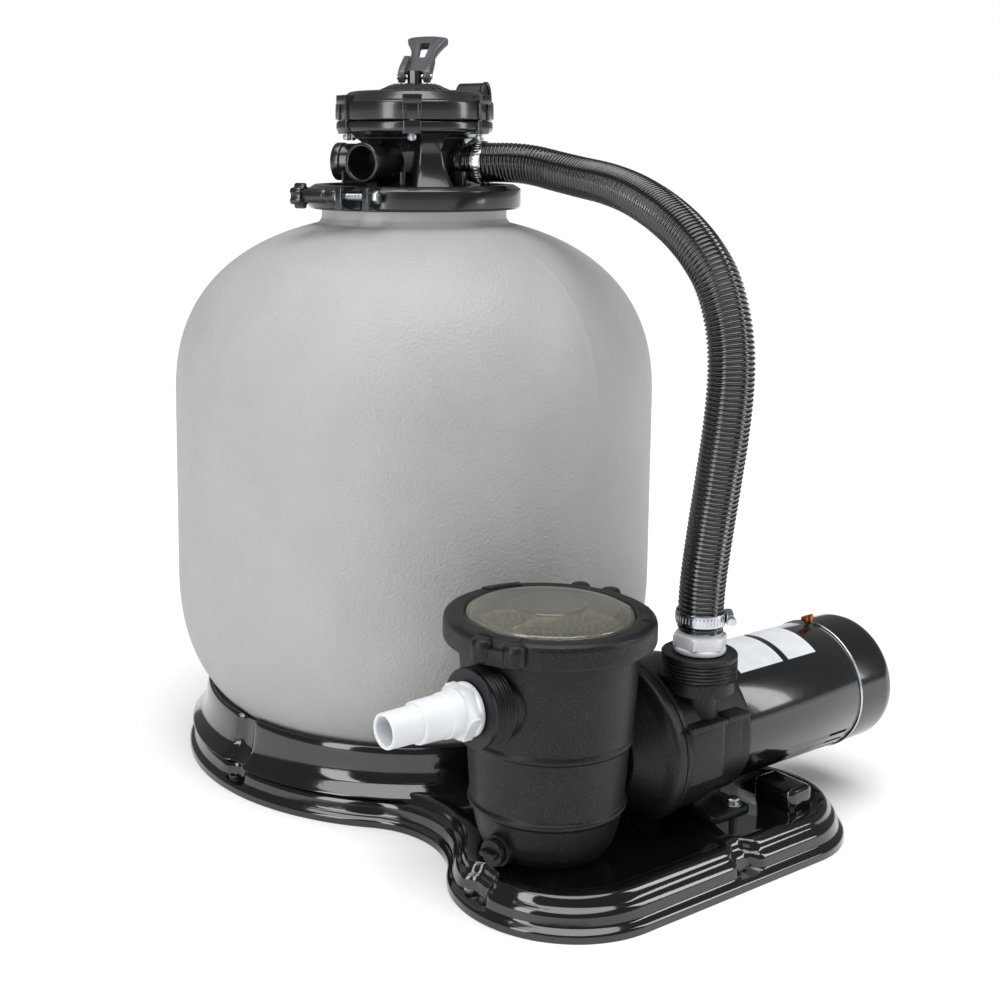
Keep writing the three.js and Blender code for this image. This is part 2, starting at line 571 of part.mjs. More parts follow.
// Threaded collar about Z: shallow ridges round the outside.
function collar(z0) {
  const ridges = [];
  for (let k = 0; k < 3; k++) ridges.push([COLLAR_R, z0 + 4 + k * 7], [COLLAR_R - 1.3, z0 + 7.5 + k * 7]);
  return turned([[0, z0], [COLLAR_R - 3, z0], ...ridges, [COLLAR_R, z0 + COLLAR_L - 3], [COLLAR_R - 1, z0 + COLLAR_L], [0, z0 + COLLAR_L]], 40);
}

function makeStrainerHousing() {
  const z = POT_Z;
  let pot = turned([[0, z], [56, z], [64, z + 6], [69, z + 16], [75, 84], [78.5, 86.5], [78.5, 90], [76, 92],
    [80, 152], [84.5, 154], [84.5, 157], [83, 160], [87, 215], [89.5, POT_RIM_Z], [0, POT_RIM_Z]], 52);
  pot = atPot(pot);
  const inlet = moved(collar(0).rotate([0, -90, 0]), INLET.x, INLET.y, INLET.z);
  pot = pot.add(inlet).add(moved(alongX(disc(27, INLET.x - 6, POT.x, 32)), 0, INLET.y, INLET.z));
  pot = pot.add(atPlug(disc(15, 20, PLUG.reach, 24)));
  const face = onShaft(turned([[0, -70], [50, -70], [60, -30], [70, -22], [CASING_R, -20], [CASING_R, SPLIT_X - GAP], [0, SPLIT_X - GAP]], 52));
  pot = pot.add(face.subtract(atPot(disc(60, 0, 240, 40))));
  const cavity = atPot(turned([[0, z + 6], [54, z + 6], [62, z + 14], [70, 90], [78, 180], [83, POT_RIM_Z - 3], [85, POT_RIM_Z + 5], [0, POT_RIM_Z + 5]], 44));
  pot = pot.subtract(cavity);
  pot = pot.subtract(moved(alongX(disc(THROAT_R, -260, POT.x, 36)), 0, INLET.y, INLET.z));
  pot = pot.subtract(onShaft(disc(24, -80, 10, 28)));
  pot = pot.subtract(onShaft(turned([[0, -14], [60, -14], [60, 5], [0, 5]], 40)));
  return pot.subtract(atPlug(disc(6.5, 20, 120, 16)));
}

function makeBasket() {
  const [lo, hi] = [52, 252];
  let basket = turned([[0, lo], [56, lo], [60, lo + 4], [72, hi - 4], [78, hi - 3], [78, hi], [70, hi], [58, lo + 5], [56, lo + 3], [0, lo + 3]], 36);
  for (let i = 0; i < 8; i++) {
    for (const z0 of [66, 166]) basket = basket.subtract(spunZ(box(40, 90, -11, 11, z0, z0 + 72), i * 45 + 22.5));
  }
  const bow = (a, b, from, to) => Array.from({ length: 9 }, (_, i) => {
    const t = from + ((to - from) * i) / 8;
    return [a * Math.cos(t), hi - 1 + b * Math.sin(t)];
  });
  const handle = plate([...bow(76, 16, 0, Math.PI), ...bow(70, 12, Math.PI, 0)], -5, 5).rotate([90, 0, 0]);
  return atPot(spunZ(basket.add(handle), 10));
}

const LID_SEAL_Z = POT_RIM_Z;

function makeLidSeal() {
  return atPot(ringOf(84.5, 88.5, LID_SEAL_Z + GAP, LID_SEAL_Z + 3, 44));
}

function makeClearLid() {
  const z = LID_SEAL_Z + 3 + GAP;
  return atPot(turned([[0, z + 9.5], [34, z + 9.5], [76, z + 4], [78, z], [92, z], [92, z + 6], [RING_IN - 2, z + 6],
    [RING_IN - 2, z + 12], [80, z + 14.5], [36, z + 16.5], [34, z + 14.5], [0, z + 14.5]], 60));
}

function makeLockRing() {
  const [lo, hi] = RING_Z;
  const z = LID_SEAL_Z + 3 + GAP + 6 + GAP;
  let ring = turned([[94, lo], [RING_OUT - 1, lo], [RING_OUT, lo + 4], [RING_OUT, hi - 5], [RING_OUT - 4, hi], [RING_IN + 2, hi],
    [RING_IN, hi - 1.5], [RING_IN, z], [94, z], [94, lo]], 60);
  for (const azimuth of [202, 22]) {
    const lug = turned([[0, 0], [6, 0], [9, 4], [9, 14], [6, 18], [0, 18]], 16);
    const grip = union(moved(lug, RING_OUT + 2, -16, lo - 2), moved(lug, RING_OUT + 2, 16, lo - 2),
      box(RING_OUT - 5, RING_OUT + 9, -16, 16, lo, lo + 13));
    ring = ring.add(spunZ(grip.subtract(disc(RING_OUT - 3, lo - 9, hi, 60)), azimuth));
  }
  for (const azimuth of [200, 320, 80]) {
    const slot = ringOf(RING_IN + 7, RING_OUT - 8, hi - 2.6, hi + 4, 60);
    const wedge = plate([[0, 0], [130, -58], [130, 58]], hi - 9, hi + 9);
    ring = ring.subtract(slot.intersect(spunZ(wedge, azimuth)));
  }
  return atPot(ring);
}

const PLUG_SEAL_T = 2;

function makePlugSeal() {
  return atPlug(ringOf(6.6, 11.5, PLUG.reach + GAP, PLUG.reach + GAP + PLUG_SEAL_T, 24));
}

function makeDrainPlug() {
  const face = PLUG.reach + 2 * GAP + PLUG_SEAL_T;
  return atPlug(union(disc(13, face, face + 5, 24), hexBar(8, face + 4, face + 11), disc(5.3, PLUG.reach - 14, face + 2, 16)));
}

// Stepped hose tail about Z with its mouth at the high end; the low end plugs into a collar.
function hoseTail(steps, reach) {
  const top = reach;
  const outer = steps.flatMap(([r, z0, z1]) => [[r, z0], [r - 0.7, z1]]);
  const body = turned([[0, -20], [THROAT_R - GAP, -20], [THROAT_R - GAP, 0.5], [26, 0.5], [26, 6], [0, 6]], 36);
  const barb = turned([[0, 3], [22.5, 5], ...outer, [steps.at(-1)[0] - 2, top], [0, top]], 36);
  return union(body, hexBar(26.5, 5, 19), barb).subtract(disc(13, -30, top + 9, 28));
}

function makeInletAdapter() {
  const tail = hoseTail([[22, 18, 27], [20.5, 30, 60], [17.2, 63, 94]], 97);
  return moved(tail.rotate([0, -90, 0]), INLET.x - COLLAR_L - GAP, INLET.y, INLET.z);
}

function makeOutletAdapter() {
  return moved(hoseTail([[21, 18, 20.5], [19, 21, 58]], 60), OUTLET.x, OUTLET.y, OUTLET.z + GAP);
}

function makeVolute() {
  const x0 = SPLIT_X + GAP;
  let volute = onShaft(turned([[0, x0], [CASING_R, x0], [CASING_R, x0 + 6], [80, x0 + 7], [80, VOLUTE_END], [0, VOLUTE_END]], 52));
  volute = volute.add(moved(collar(OUTLET.z - COLLAR_L), OUTLET.x, OUTLET.y, 0));
  volute = volute.add(moved(turned([[0, SHAFT_Z], [24, SHAFT_Z], [18, 165], [18, OUTLET.z - COLLAR_L + 2], [0, OUTLET.z - COLLAR_L + 2]], 32), OUTLET.x, OUTLET.y, 0)
    .subtract(box(VOLUTE_END, 200, -600, 0, 0, 300)));
  volute = volute.add(box(x0 + 1, VOLUTE_END, PUMP_Y - 83, PUMP_Y - 10, 62, 157));
  volute = volute.add(box(x0 + 1, VOLUTE_END, PUMP_Y - 86, PUMP_Y - 10, 151, 157));
  volute = volute.subtract(onShaft(disc(62, x0 - 5, VOLUTE_END - 12, 40)));
  volute = volute.subtract(onShaft(disc(30, 0, VOLUTE_END + 5, 32)));
  return volute.subtract(moved(disc(THROAT_R, SHAFT_Z, 260, 36), OUTLET.x, OUTLET.y, 0).subtract(box(-200, 300, -600, 0, 0, SHAFT_Z + 20)));
}

function makeImpeller() {
  let wheel = onShaft(turned([[0, 8], [22, 8], [22, 12], [54, 15], [54, 17], [22, 17], [14, 26], [0, 26]], 36));
  const back = onShaft(ringOf(10, 54, 22, 25, 36));
  wheel = wheel.add(back);
  for (let i = 0; i < 6; i++) {
    const vane = plate([[12, -1.5], [34, -8], [53, -22], [53, -18], [35, -4], [12, 1.5]], 15, 24);
    wheel = wheel.add(moved(alongX(spunZ(vane, 60 * i)), 0, PUMP_Y, SHAFT_Z));
  }
  return wheel.subtract(onShaft(disc(14, 0, 15, 24))).subtract(onShaft(disc(7.4, 14, 40, 32)));
}

function makeSeal() {
  return onShaft(turned([[7.6, 27], [12, 27], [12, 40], [26, 40], [26, 46], [7.6, 46], [7.6, 27]], 28));
}

function makeBracket() {
  const x0 = VOLUTE_END + GAP;
  let bracket = onShaft(turned([[0, x0], [74, x0], [75, x0 + 8], [75, 96], [0, 96]], 52));
  bracket = bracket.add(box(x0, 80, PUMP_Y - 79, PUMP_Y - 10, 70, 157));
  bracket = bracket.add(box(x0, 80, PUMP_Y - 84, PUMP_Y - 10, 151, 157));
  bracket = bracket.add(box(x0, 88, PUMP_Y - 42, PUMP_Y + 42, DECK_Z + GAP, 80)).add(box(x0, 104, PUMP_Y - 70, PUMP_Y + 70, DECK_Z + GAP, DECK_Z + 9));
  bracket = bracket.subtract(onShaft(disc(MOTOR_R + GAP, 62, 120, 52)));
  bracket = bracket.subtract(onShaft(disc(18, 0, 90, 28)));
  for (const [x, y] of footBoltSpots()) bracket = bracket.subtract(moved(disc(4.3, 20, 55, 16), x, y, 0));
  return bracket;
}

function makeFootBolt([x, y]) {
  const top = DECK_Z + 9 + GAP;
  return moved(union(disc(9, top, top + 2, 20), hexBar(7, top + 1.5, top + 8), disc(4, DECK_Z - 9, top + 1, 16)), x, y, 0);
}

function makeMotorShell() {
  let shell = onShaft(ringOf(MOTOR_R - 3, MOTOR_R, 63, MOTOR_END, 52));
  for (let i = 0; i < 5; i++) {
    const louver = box(MOTOR_END - 40, MOTOR_END - 12, -2, 2, MOTOR_R - 8, MOTOR_R + 5);
    shell = shell.subtract(moved(louver.rotate([118 + 10 * i, 0, 0]), 0, PUMP_Y, SHAFT_Z));
  }
  return shell;
}

function makeStator() {
  let stator = onShaft(ringOf(34, MOTOR_R - 3 - GAP, 110, 210, 52));
  for (let i = 0; i < 6; i++) {
    stator = stator.subtract(moved(alongX(spunZ(box(33, 52, -4, 4, 100, 220), 60 * i)), 0, PUMP_Y, SHAFT_Z));
  }
  return stator;
}

function makeRotorShaft() {
  const seat = CAP_END - 14;
  return onShaft(turned([[0, 16], [7, 16], [7, 56], [9.5, 56], [9.5, 108], [33.4, 112], [33.4, 208], [9.5, 212],
    [9.5, 250], [52, 252], [52, 258], [9.5, 260], [9.5, seat], [0, seat]], 32));
}

function makeEndCap() {
  const x0 = MOTOR_END + 3.2;
  let cap = turned([[MOTOR_R - 3, x0], [MOTOR_R, x0], [MOTOR_R, CAP_END - 16], [MOTOR_R - 3, CAP_END - 6], [MOTOR_R - 14, CAP_END],
    [0, CAP_END], [0, CAP_END - 4], [12, CAP_END - 4], [12, CAP_END - 18], [16, CAP_END - 18], [16, CAP_END - 6],
    [MOTOR_R - 16, CAP_END - 5], [MOTOR_R - 6, CAP_END - 12], [MOTOR_R - 3, CAP_END - 20], [MOTOR_R - 3, x0]], 52);
  return onShaft(cap);
}

function makeMotorBand() {
  return onShaft(ringOf(MOTOR_R - 3, MOTOR_R + 1.2, MOTOR_END + GAP, MOTOR_END + 2.9, 52));
}

// Thin curved plate lying on the motor from one x to another between two angles from straight up.
function curvedPlate(x0, x1, a0, a1) {
  const [r0, r1] = [MOTOR_R + GAP, MOTOR_R + 0.9];
  const rows = [...arc(0, 0, r1, a0 * DEG, a1 * DEG, 9), ...arc(0, 0, r0, a1 * DEG, a0 * DEG, 9)];
  return onShaft(plate(rows, x0, x1));
}

function makeGroundLug() {
  const post = union(disc(3.5, MOTOR_R + GAP, MOTOR_R + 6, 12), box(-7, 7, -4, 4, MOTOR_R + 5, MOTOR_R + 9.5));
  return moved(post.rotate([-2, 0, 0]), MOTOR_END - 8, PUMP_Y, SHAFT_Z);
}

// ---------------------------------------------------------------- assembly

addPart('base_platform', makeBase(), 'gloss');
addPart('tank_shell', makeTank(), 'tank');
addPart('neck_seal', makeNeckSeal(), 'rubber');
addPart('clamp_half_front', makeClampHalf(1), 'satin');
addPart('clamp_half_rear', makeClampHalf(-1), 'satin');
addPart('clamp_bolt', makeClampBolt(), 'steel');
addPart('clamp_rear_bolt', makeRearBolt(), 'steel');
addPart('clamp_knob', makeKnob(), 'satin');
addPart('clamp_knob_washer', makeKnobWasher(), 'steel');
addPart('standpipe', makeStandpipe(), 'white');
addPart('lateral_hub', makeHub(), 'white');
for (let i = 0; i < LATERALS; i++) addPart(`lateral_${i + 1}`, makeLateral(i), 'white');
addPart('top_diffuser', makeDiffuser(), 'white');
addPart('valve_body', makeValveBody(), 'satin');
addPart('valve_gasket', makeGasket(), 'rubber');
addPart('valve_rotor', makeRotor(), 'satin');
addPart('stem_washer', makeStemWasher(), 'white');
addPart('stem_spring', makeSpring(), 'steel');
addPart('valve_cover', makeCover(), 'satin');
addPart('cover_seal', makeCoverSeal(), 'rubber');
bossAngles.forEach((azimuth, i) => addPart(`cover_screw_${i + 1}`, makeCoverScrew(azimuth), 'steel'));
addPart('valve_handle', makeHandle(), 'satin');
addPart('handle_pin', makeHandlePin(), 'steel');
addPart('pressure_gauge', makeGauge(), 'matte');
addPart('transfer_hose', makeHose(), 'gloss');
const portWay = V3(Math.cos(PORT_AZ.pump * DEG), Math.sin(PORT_AZ.pump * DEG), 0);
addPart('hose_clamp_valve', makeHoseClamp(V3(0, 0, PORT_Z).addScaledVector(portWay, 84), portWay, -134), 'steel');
addPart('hose_clamp_pump', makeHoseClamp(V3(OUTLET.x, OUTLET.y, 258), V3(0, 0, 1), -40), 'steel');
addPart('inlet_adapter', makeInletAdapter(), 'white');
addPart('outlet_adapter', makeOutletAdapter(), 'white');
addPart('strainer_housing', makeStrainerHousing(), 'matte');
addPart('strainer_basket', makeBasket(), 'cream');
addPart('lid_seal', makeLidSeal(), 'rubber');
addPart('clear_lid', makeClearLid(), 'smoked');
addPart('lock_ring', makeLockRing(), 'matte');
addPart('drain_plug', makeDrainPlug(), 'matte');
addPart('drain_plug_seal', makePlugSeal(), 'rubber');
addPart('volute_housing', makeVolute(), 'matte');
addPart('impeller', makeImpeller(), 'cream');
addPart('shaft_seal', makeSeal(), 'rubber');
addPart('motor_bracket', makeBracket(), 'matte');
footBoltSpots().forEach((spot, i) => addPart(`foot_bolt_${i + 1}`, makeFootBolt(spot), 'steel'));
addPart('motor_shell', makeMotorShell(), 'paint');
addPart('motor_stator', makeStator(), 'iron');
addPart('rotor_shaft', makeRotorShaft(), 'iron');
addPart('motor_end_cap', makeEndCap(), 'paint');
addPart('motor_band', makeMotorBand(), 'steel');
addPart('label_plate_front', curvedPlate(112, 178, 162, 216), 'white');
addPart('label_plate_rear', curvedPlate(187, 231, 162, 216), 'white');
addPart('ground_lug', makeGroundLug(), 'copper');

export default group;
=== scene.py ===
"""Sand filter system in a studio: tank, selector valve, ribbed hose and strainer pump on one base."""

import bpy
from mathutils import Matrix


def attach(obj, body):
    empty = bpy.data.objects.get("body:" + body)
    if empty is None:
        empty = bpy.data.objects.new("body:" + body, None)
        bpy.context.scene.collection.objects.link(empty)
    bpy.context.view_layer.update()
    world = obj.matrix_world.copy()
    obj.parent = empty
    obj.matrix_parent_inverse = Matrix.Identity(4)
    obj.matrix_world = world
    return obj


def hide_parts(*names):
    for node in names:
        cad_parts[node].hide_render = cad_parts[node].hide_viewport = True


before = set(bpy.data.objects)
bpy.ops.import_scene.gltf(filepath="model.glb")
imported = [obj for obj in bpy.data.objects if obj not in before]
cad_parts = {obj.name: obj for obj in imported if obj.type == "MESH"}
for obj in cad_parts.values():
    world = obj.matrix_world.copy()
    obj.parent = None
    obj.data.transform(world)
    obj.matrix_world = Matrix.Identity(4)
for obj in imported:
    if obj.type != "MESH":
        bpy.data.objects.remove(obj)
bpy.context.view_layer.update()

import logging
import math
from dataclasses import dataclass, field
from enum import Enum
from typing import Callable, Sequence

import bmesh
import bpy
import numpy as np
from mathutils import Matrix, Vector

LOG = logging.getLogger("filter")
MM = 0.001
TURN = 2 * math.pi
Array = np.ndarray


# ------------------------------------------------------------------ shapes

@dataclass
class Form:
    """A surface in millimetres: its points and its faces.

    Args:
        points: one row of x, y, z per point.
        faces: the point numbers of each face.
    """

    points: Array
    faces: list

    def placed(self, matrix: Array) -> "Form":
        """The same surface moved by a 4x4 matrix: each point p becomes R p + t."""
        return Form(self.points @ matrix[:3, :3].T + matrix[:3, 3], self.faces)

    def at(self, x: float, y: float, z: float) -> "Form":
        """The same surface shifted by x, y and z."""
        return Form(self.points + np.array([x, y, z]), self.faces)


def joined(forms: Sequence[Form]) -> Form:
    """Several surfaces as one, with each one's face numbers counted on from the last.

    Args:
        forms: the surfaces.

    Returns:
        One surface.
    """
    starts = np.cumsum([0] + [len(f.points) for f in forms])
    faces = [tuple(np.add(face, s)) for f, s in zip(forms, starts) for face in f.faces]
    return Form(np.vstack([f.points for f in forms]), faces)


def quads(rows: int, cols: int, wrap_rows: bool) -> list:
    """Faces of a grid whose columns always close round.

    Point (i, j) has the number i * cols + j, and each face joins it with its neighbours in i + 1 and j + 1.
    """
    i, j = np.meshgrid(np.arange(rows if wrap_rows else rows - 1), np.arange(cols), indexing="ij")
    k, n = (i + 1) % rows, (j + 1) % cols
    return np.stack([i * cols + j, i * cols + n, k * cols + n, k * cols + j], -1).reshape(-1, 4).tolist()


def lathe(profile: Sequence, sides: int = 96, swell: Callable | None = None) -> Form:
    """A profile carried round Z: x = r cos a, y = r sin a, z = z, for a from 0 to a full turn.

    Args:
        profile: rows of radius and height; it ends on the axis or comes back to its start.
        sides: how many steps round.
        swell: gives new radii from the grids of radius, height and angle.

    Returns:
        A closed surface.
    """
    p = np.asarray(profile, float)
    ring = bool(np.allclose(p[0], p[-1]))
    p = p[:-1] if ring else p
    angle = np.linspace(0, TURN, sides, endpoint=False)
    r, a = np.meshgrid(p[:, 0], angle, indexing="ij")
    z = np.repeat(p[:, 1:2], sides, axis=1)
    r = swell(r, z, a) if swell else r
    points = np.stack([r * np.cos(a), r * np.sin(a), z], -1).reshape(-1, 3)
    return Form(points, quads(len(p), sides, ring))


def filleted(points: Sequence, radius: float, steps: int = 5) -> Array:
    """Corners rounded off: inner corner P becomes (1-t)^2 A + 2 t (1-t) P + t^2 B for t from 0 to 1.

    A and B lie on the two edges at the radius from P, or nearer where an edge is short.

    Args:
        points: an open line of points.
        radius: how far from the corner the rounding starts.
        steps: points on each rounding.

    Returns:
        The rounded line.
    """
    p = np.asarray(points, float)
    back, on = p[:-2] - p[1:-1], p[2:] - p[1:-1]
    lb, lo = np.linalg.norm(back, axis=1, keepdims=True), np.linalg.norm(on, axis=1, keepdims=True)
    reach = np.minimum(radius, 0.45 * np.minimum(lb, lo))
    a, b, c = (p[1:-1] + back / lb * reach)[:, None], (p[1:-1] + on / lo * reach)[:, None], p[1:-1][:, None]
    t = np.linspace(0, 1, steps)[None, :, None]
    curve = (1 - t) ** 2 * a + 2 * t * (1 - t) * c + t ** 2 * b
    return np.vstack([p[:1], curve.reshape(-1, p.shape[1]), p[-1:]])


def rounded_loop(points: Sequence, radius: float, steps: int = 5) -> Array:
    """A closed outline with every corner rounded, by the same curve as filleted."""
    p = np.asarray(points, float)
    mid = (p[0] + p[-1]) / 2
    return filleted(np.vstack([mid, p, mid]), radius, steps)[:-1]


def grown(outline: Array, by: float) -> Array:
    """A closed outline moved outwards, or inwards where by is negative: each point p becomes p + by * n."""
    along = np.roll(outline, -1, 0) - np.roll(outline, 1, 0)
    normal = np.stack([along[:, 1], -along[:, 0]], 1)
    area = np.sum(outline[:, 0] * np.roll(outline[:, 1], -1) - np.roll(outline[:, 0], -1) * outline[:, 1])
    return outline + math.copysign(by, area * by) * normal / np.linalg.norm(normal, axis=1, keepdims=True)


def stacked(loops: Sequence[Array]) -> Form:
    """A skin through closed loops of one point count, flat at both ends.

    Args:
        loops: each loop's points in three dimensions.

    Returns:
        A closed surface.
    """
    n = len(loops[0])
    faces = quads(len(loops), n, False)
    last = (len(loops) - 1) * n
    return Form(np.vstack(loops), faces + [tuple(range(n))[::-1], tuple(range(last, last + n))])


def slab(outline: Array, z0: float, z1: float, edge: float = 0.8) -> Form:
    """A flat plate with softened edges: the outline at z0 and z1, pulled in by edge over a height of edge."""
    heights = [(z0, -edge), (z0 + edge * 0.3, -edge * 0.3), (z0 + edge, 0), (z1 - edge, 0),
        (z1 - edge * 0.3, -edge * 0.3), (z1, -edge)]
    return stacked([np.column_stack([grown(outline, g) if g else outline, np.full(len(outline), z)]) for z,
        g in heights])


def block(x0: float, x1: float, y0: float, y1: float, z0: float, z1: float, corner: float = 2.0,
        edge: float = 0.8) -> Form:
    """A moulded block with rounded corners between the given limits."""
    return slab(rounded_loop([[x0, y0], [x1, y0], [x1, y1], [x0, y1]], corner), z0, z1, edge)


def hexagon(across: float) -> Array:
    """A six-sided outline with slightly rounded corners; across is its distance over the flats."""
    a = np.arange(6) * TURN / 6
    return rounded_loop(across / math.sqrt(3) * np.column_stack([np.cos(a), np.sin(a)]), 0.6, 3)


def smooth_line(points: Sequence, count: int) -> Array:
    """A Catmull-Rom curve through the points, resampled to equal steps.

    Between P1 and P2 it is the cubic whose slope at each end is half the chord between that end's neighbours.

    Args:
        points: the points it passes through.
        count: how many points to return.

    Returns:
        Points at equal distances along the curve.
    """
    p = np.asarray(points, float)
    p = np.vstack([2 * p[0] - p[1], p, 2 * p[-1] - p[-2]])
    t = np.linspace(0, 1, 24, endpoint=False)[None, :, None]
    a, b, c, d = (p[k:len(p) - 3 + k][:, None] for k in range(4))
    square, cube = 2 * a - 5 * b + 4 * c - d, 3 * b - a - 3 * c + d
    curve = 0.5 * (2 * b + (c - a) * t + square * t ** 2 + cube * t ** 3)
    curve = np.vstack([curve.reshape(-1, p.shape[1]), p[-2]])
    run = np.concatenate([[0], np.cumsum(np.linalg.norm(np.diff(curve, axis=0), axis=1))])
    s = np.linspace(0, run[-1], count)
    return np.column_stack([np.interp(s, run, curve[:, k]) for k in range(p.shape[1])])


def swept(line: Array, radius: Callable, sides: int, side_hint: Sequence) -> Form:
    """A tube along a line: point (s, a) is C(s) + r(s, a) (N cos a + B sin a).

    N is the hint with its part along the line taken out, and B completes the right-handed set.

    Args:
        line: points of the centreline.
        radius: gives the radius grid from the grids of distance along and angle.
        sides: steps round.
        side_hint: a direction the line never runs along.

    Returns:
        A closed surface with flat ends.
    """
    tangent = np.gradient(line, axis=0)
    tangent /= np.linalg.norm(tangent, axis=1, keepdims=True)
    hint = np.asarray(side_hint, float)
    n = hint - (tangent @ hint)[:, None] * tangent
    n /= np.linalg.norm(n, axis=1, keepdims=True)
    b = np.cross(tangent, n)
    run = np.concatenate([[0], np.cumsum(np.linalg.norm(np.diff(line, axis=0), axis=1))])
    s, a = np.meshgrid(run, np.linspace(0, TURN, sides, endpoint=False), indexing="ij")
    r = (radius(s, a) * np.ones_like(a))[..., None]
    points = line[:, None] + r * (n[:, None] * np.cos(a)[..., None] + b[:, None] * np.sin(a)[..., None])
    return stacked(list(points))


def toward(origin: Sequence, axis: Sequence, up: Sequence) -> Array:
    """A 4x4 matrix to origin that lays local Z along axis and local X as near up as it can be."""
    z = np.asarray(axis, float) / np.linalg.norm(axis)
    x = np.asarray(up, float) - np.dot(up, z) * z
    x /= np.linalg.norm(x)
    matrix = np.eye(4)
    matrix[:3, 0], matrix[:3, 1], matrix[:3, 2], matrix[:3, 3] = x, np.cross(z, x), z, origin
    return matrix


def spun(degrees: float, x: float = 0, y: float = 0, z: float = 0) -> Array:
    """A 4x4 matrix that turns about Z by degrees and then shifts."""
    return np.array(Matrix.Translation((x, y, z)) @ Matrix.Rotation(math.radians(degrees), 4, "Z"))


def radial(azimuth: float, z: float, out: float = 0, x: float = 0, y: float = 0) -> Array:
    """A frame whose Z points out level at the azimuth, from out millimetres off the axis at x, y."""
    c, s = math.cos(math.radians(azimuth)), math.sin(math.radians(azimuth))
    return toward((x + out * c, y + out * s, z), (c, s, 0), (0, 0, 1))


def threaded(low: float, high: float, pitch: float, depth: float) -> Callable:
    """A swell that cuts a screw thread: r loses depth times a triangle wave of z / pitch - a / full turn."""
    def cut(r: Array, z: Array, a: Array) -> Array:
        """New radii with the thread between low and high."""
        wave = np.abs(((z / pitch - a / TURN) % 1) * 2 - 1)
        inside = (z > low) & (z < high) & (r > 1)
        return r - depth * wave * inside
    return cut


def even(z0: float, z1: float, step: float) -> Array:
    """Heights from z0 to z1 in equal steps no longer than step."""
    return np.linspace(z0, z1, max(2, int(math.ceil(abs(z1 - z0) / step)) + 1))


# ------------------------------------------------------------------ finishes

def tint(code: str) -> tuple:
    """An sRGB hex colour as linear red, green, blue and alpha.

    Below 0.04045 the value is divided by 12.92, above it is ((v + 0.055) / 1.055) ** 2.4.
    """
    v = np.array([int(code[i:i + 2], 16) for i in (1, 3, 5)]) / 255
    linear = np.where(v <= 0.04045, v / 12.92, ((v + 0.055) / 1.055) ** 2.4)
    return (*map(float, linear), 1.0)


def add_node(tree: bpy.types.NodeTree, kind: str, links: dict | None = None, values: dict | None = None,
        **settings: object) -> bpy.types.Node:
    """Adds one node.

    Args:
        tree: the node tree.
        kind: the node's type.
        links: socket name to the output that feeds it.
        values: socket name to its fixed value.
        settings: the node's own properties.

    Returns:
        The node.
    """
    node = tree.nodes.new(kind)
    for key, value in settings.items():
        setattr(node, key, value)
    for key, value in (values or {}).items():
        node.inputs[key].default_value = value
    for key, output in (links or {}).items():
        tree.links.new(output, node.inputs[key])
    return node


@dataclass(frozen=True)
class Finish:
    """One real material and how it was made.

    Args:
        name: its common name and process.
        tone: main colour.
        second: colour it drifts towards in patches.
        rough: roughness.
        rough_drift: how far roughness wanders either way.
        grain_mm: size of the surface grain.
        relief_mm: height of the grain.
        patch_mm: size of the patches of second colour.
        metallic: 1 for bare metal.
        ior: index of refraction.
        coat: clear gloss layer.
        sparkle: strength of fine grey specks, coarser than life so that they show.
    """

    name: str
    tone: str
    second: str
    rough: float
    rough_drift: float = 0.04
    grain_mm: float = 2.0
    relief_mm: float = 0.05
    patch_mm: float = 60.0
    metallic: float = 0.0
    ior: float = 1.5
    coat: float = 0.0
    sparkle: float = 0.0

    def build(self) -> bpy.types.Material:
        """Makes the material: patches tint it, grain wanders its roughness and raises its surface."""
        material = bpy.data.materials.new(self.name)
        material.use_nodes = True
        tree = material.node_tree
        tree.nodes.clear()
        where = add_node(tree, "ShaderNodeTexCoord").outputs["Object"]
        fine = add_node(tree, "ShaderNodeTexNoise", {"Vector": where},
            {"Scale": 1 / (self.grain_mm * MM), "Detail": 2.0, "Roughness": 0.5})
        broad = add_node(tree, "ShaderNodeTexNoise", {"Vector": where},
            {"Scale": 1 / (self.patch_mm * MM), "Detail": 3.0})
        spread = add_node(tree, "ShaderNodeMapRange", {"Value": broad.outputs["Fac"]},
            {"From Min": 0.35, "From Max": 0.65})
        colour = add_node(tree, "ShaderNodeMix", {"Factor": spread.outputs["Result"]}, data_type="RGBA")
        colour.inputs["A"].default_value = tint(self.tone)
        colour.inputs["B"].default_value = tint(self.second)
        shade = colour.outputs["Result"]
        if self.sparkle:
            fleck = add_node(tree, "ShaderNodeTexNoise", {"Vector": where},
                {"Scale": 1 / (1.1 * MM), "Detail": 1.0})
            pick = add_node(tree, "ShaderNodeMapRange", {"Value": fleck.outputs["Fac"]},
                {"From Min": 0.64, "From Max": 0.74, "To Max": self.sparkle})
            pale = add_node(tree, "ShaderNodeMix", {"Factor": pick.outputs["Result"], "A": shade},
                data_type="RGBA")
            pale.inputs["B"].default_value = tint("#8a8d90")
            shade = pale.outputs["Result"]
        rough = add_node(tree, "ShaderNodeMapRange", {"Value": fine.outputs["Fac"]},
                         {"To Min": self.rough - self.rough_drift, "To Max": self.rough + self.rough_drift})
        relief = add_node(tree, "ShaderNodeBump", {"Height": fine.outputs["Fac"]},
            {"Strength": 1.0, "Distance": self.relief_mm * MM})
        shader = add_node(tree, "ShaderNodeBsdfPrincipled",
                          {"Base Color": shade, "Roughness": rough.outputs["Result"],
                          "Normal": relief.outputs["Normal"]},
                          {"Metallic": self.metallic, "IOR": self.ior, "Coat Weight": self.coat,
                          "Coat Roughness": 0.05})
        add_node(tree, "ShaderNodeOutputMaterial", {"Surface": shader.outputs["BSDF"]})
        return material


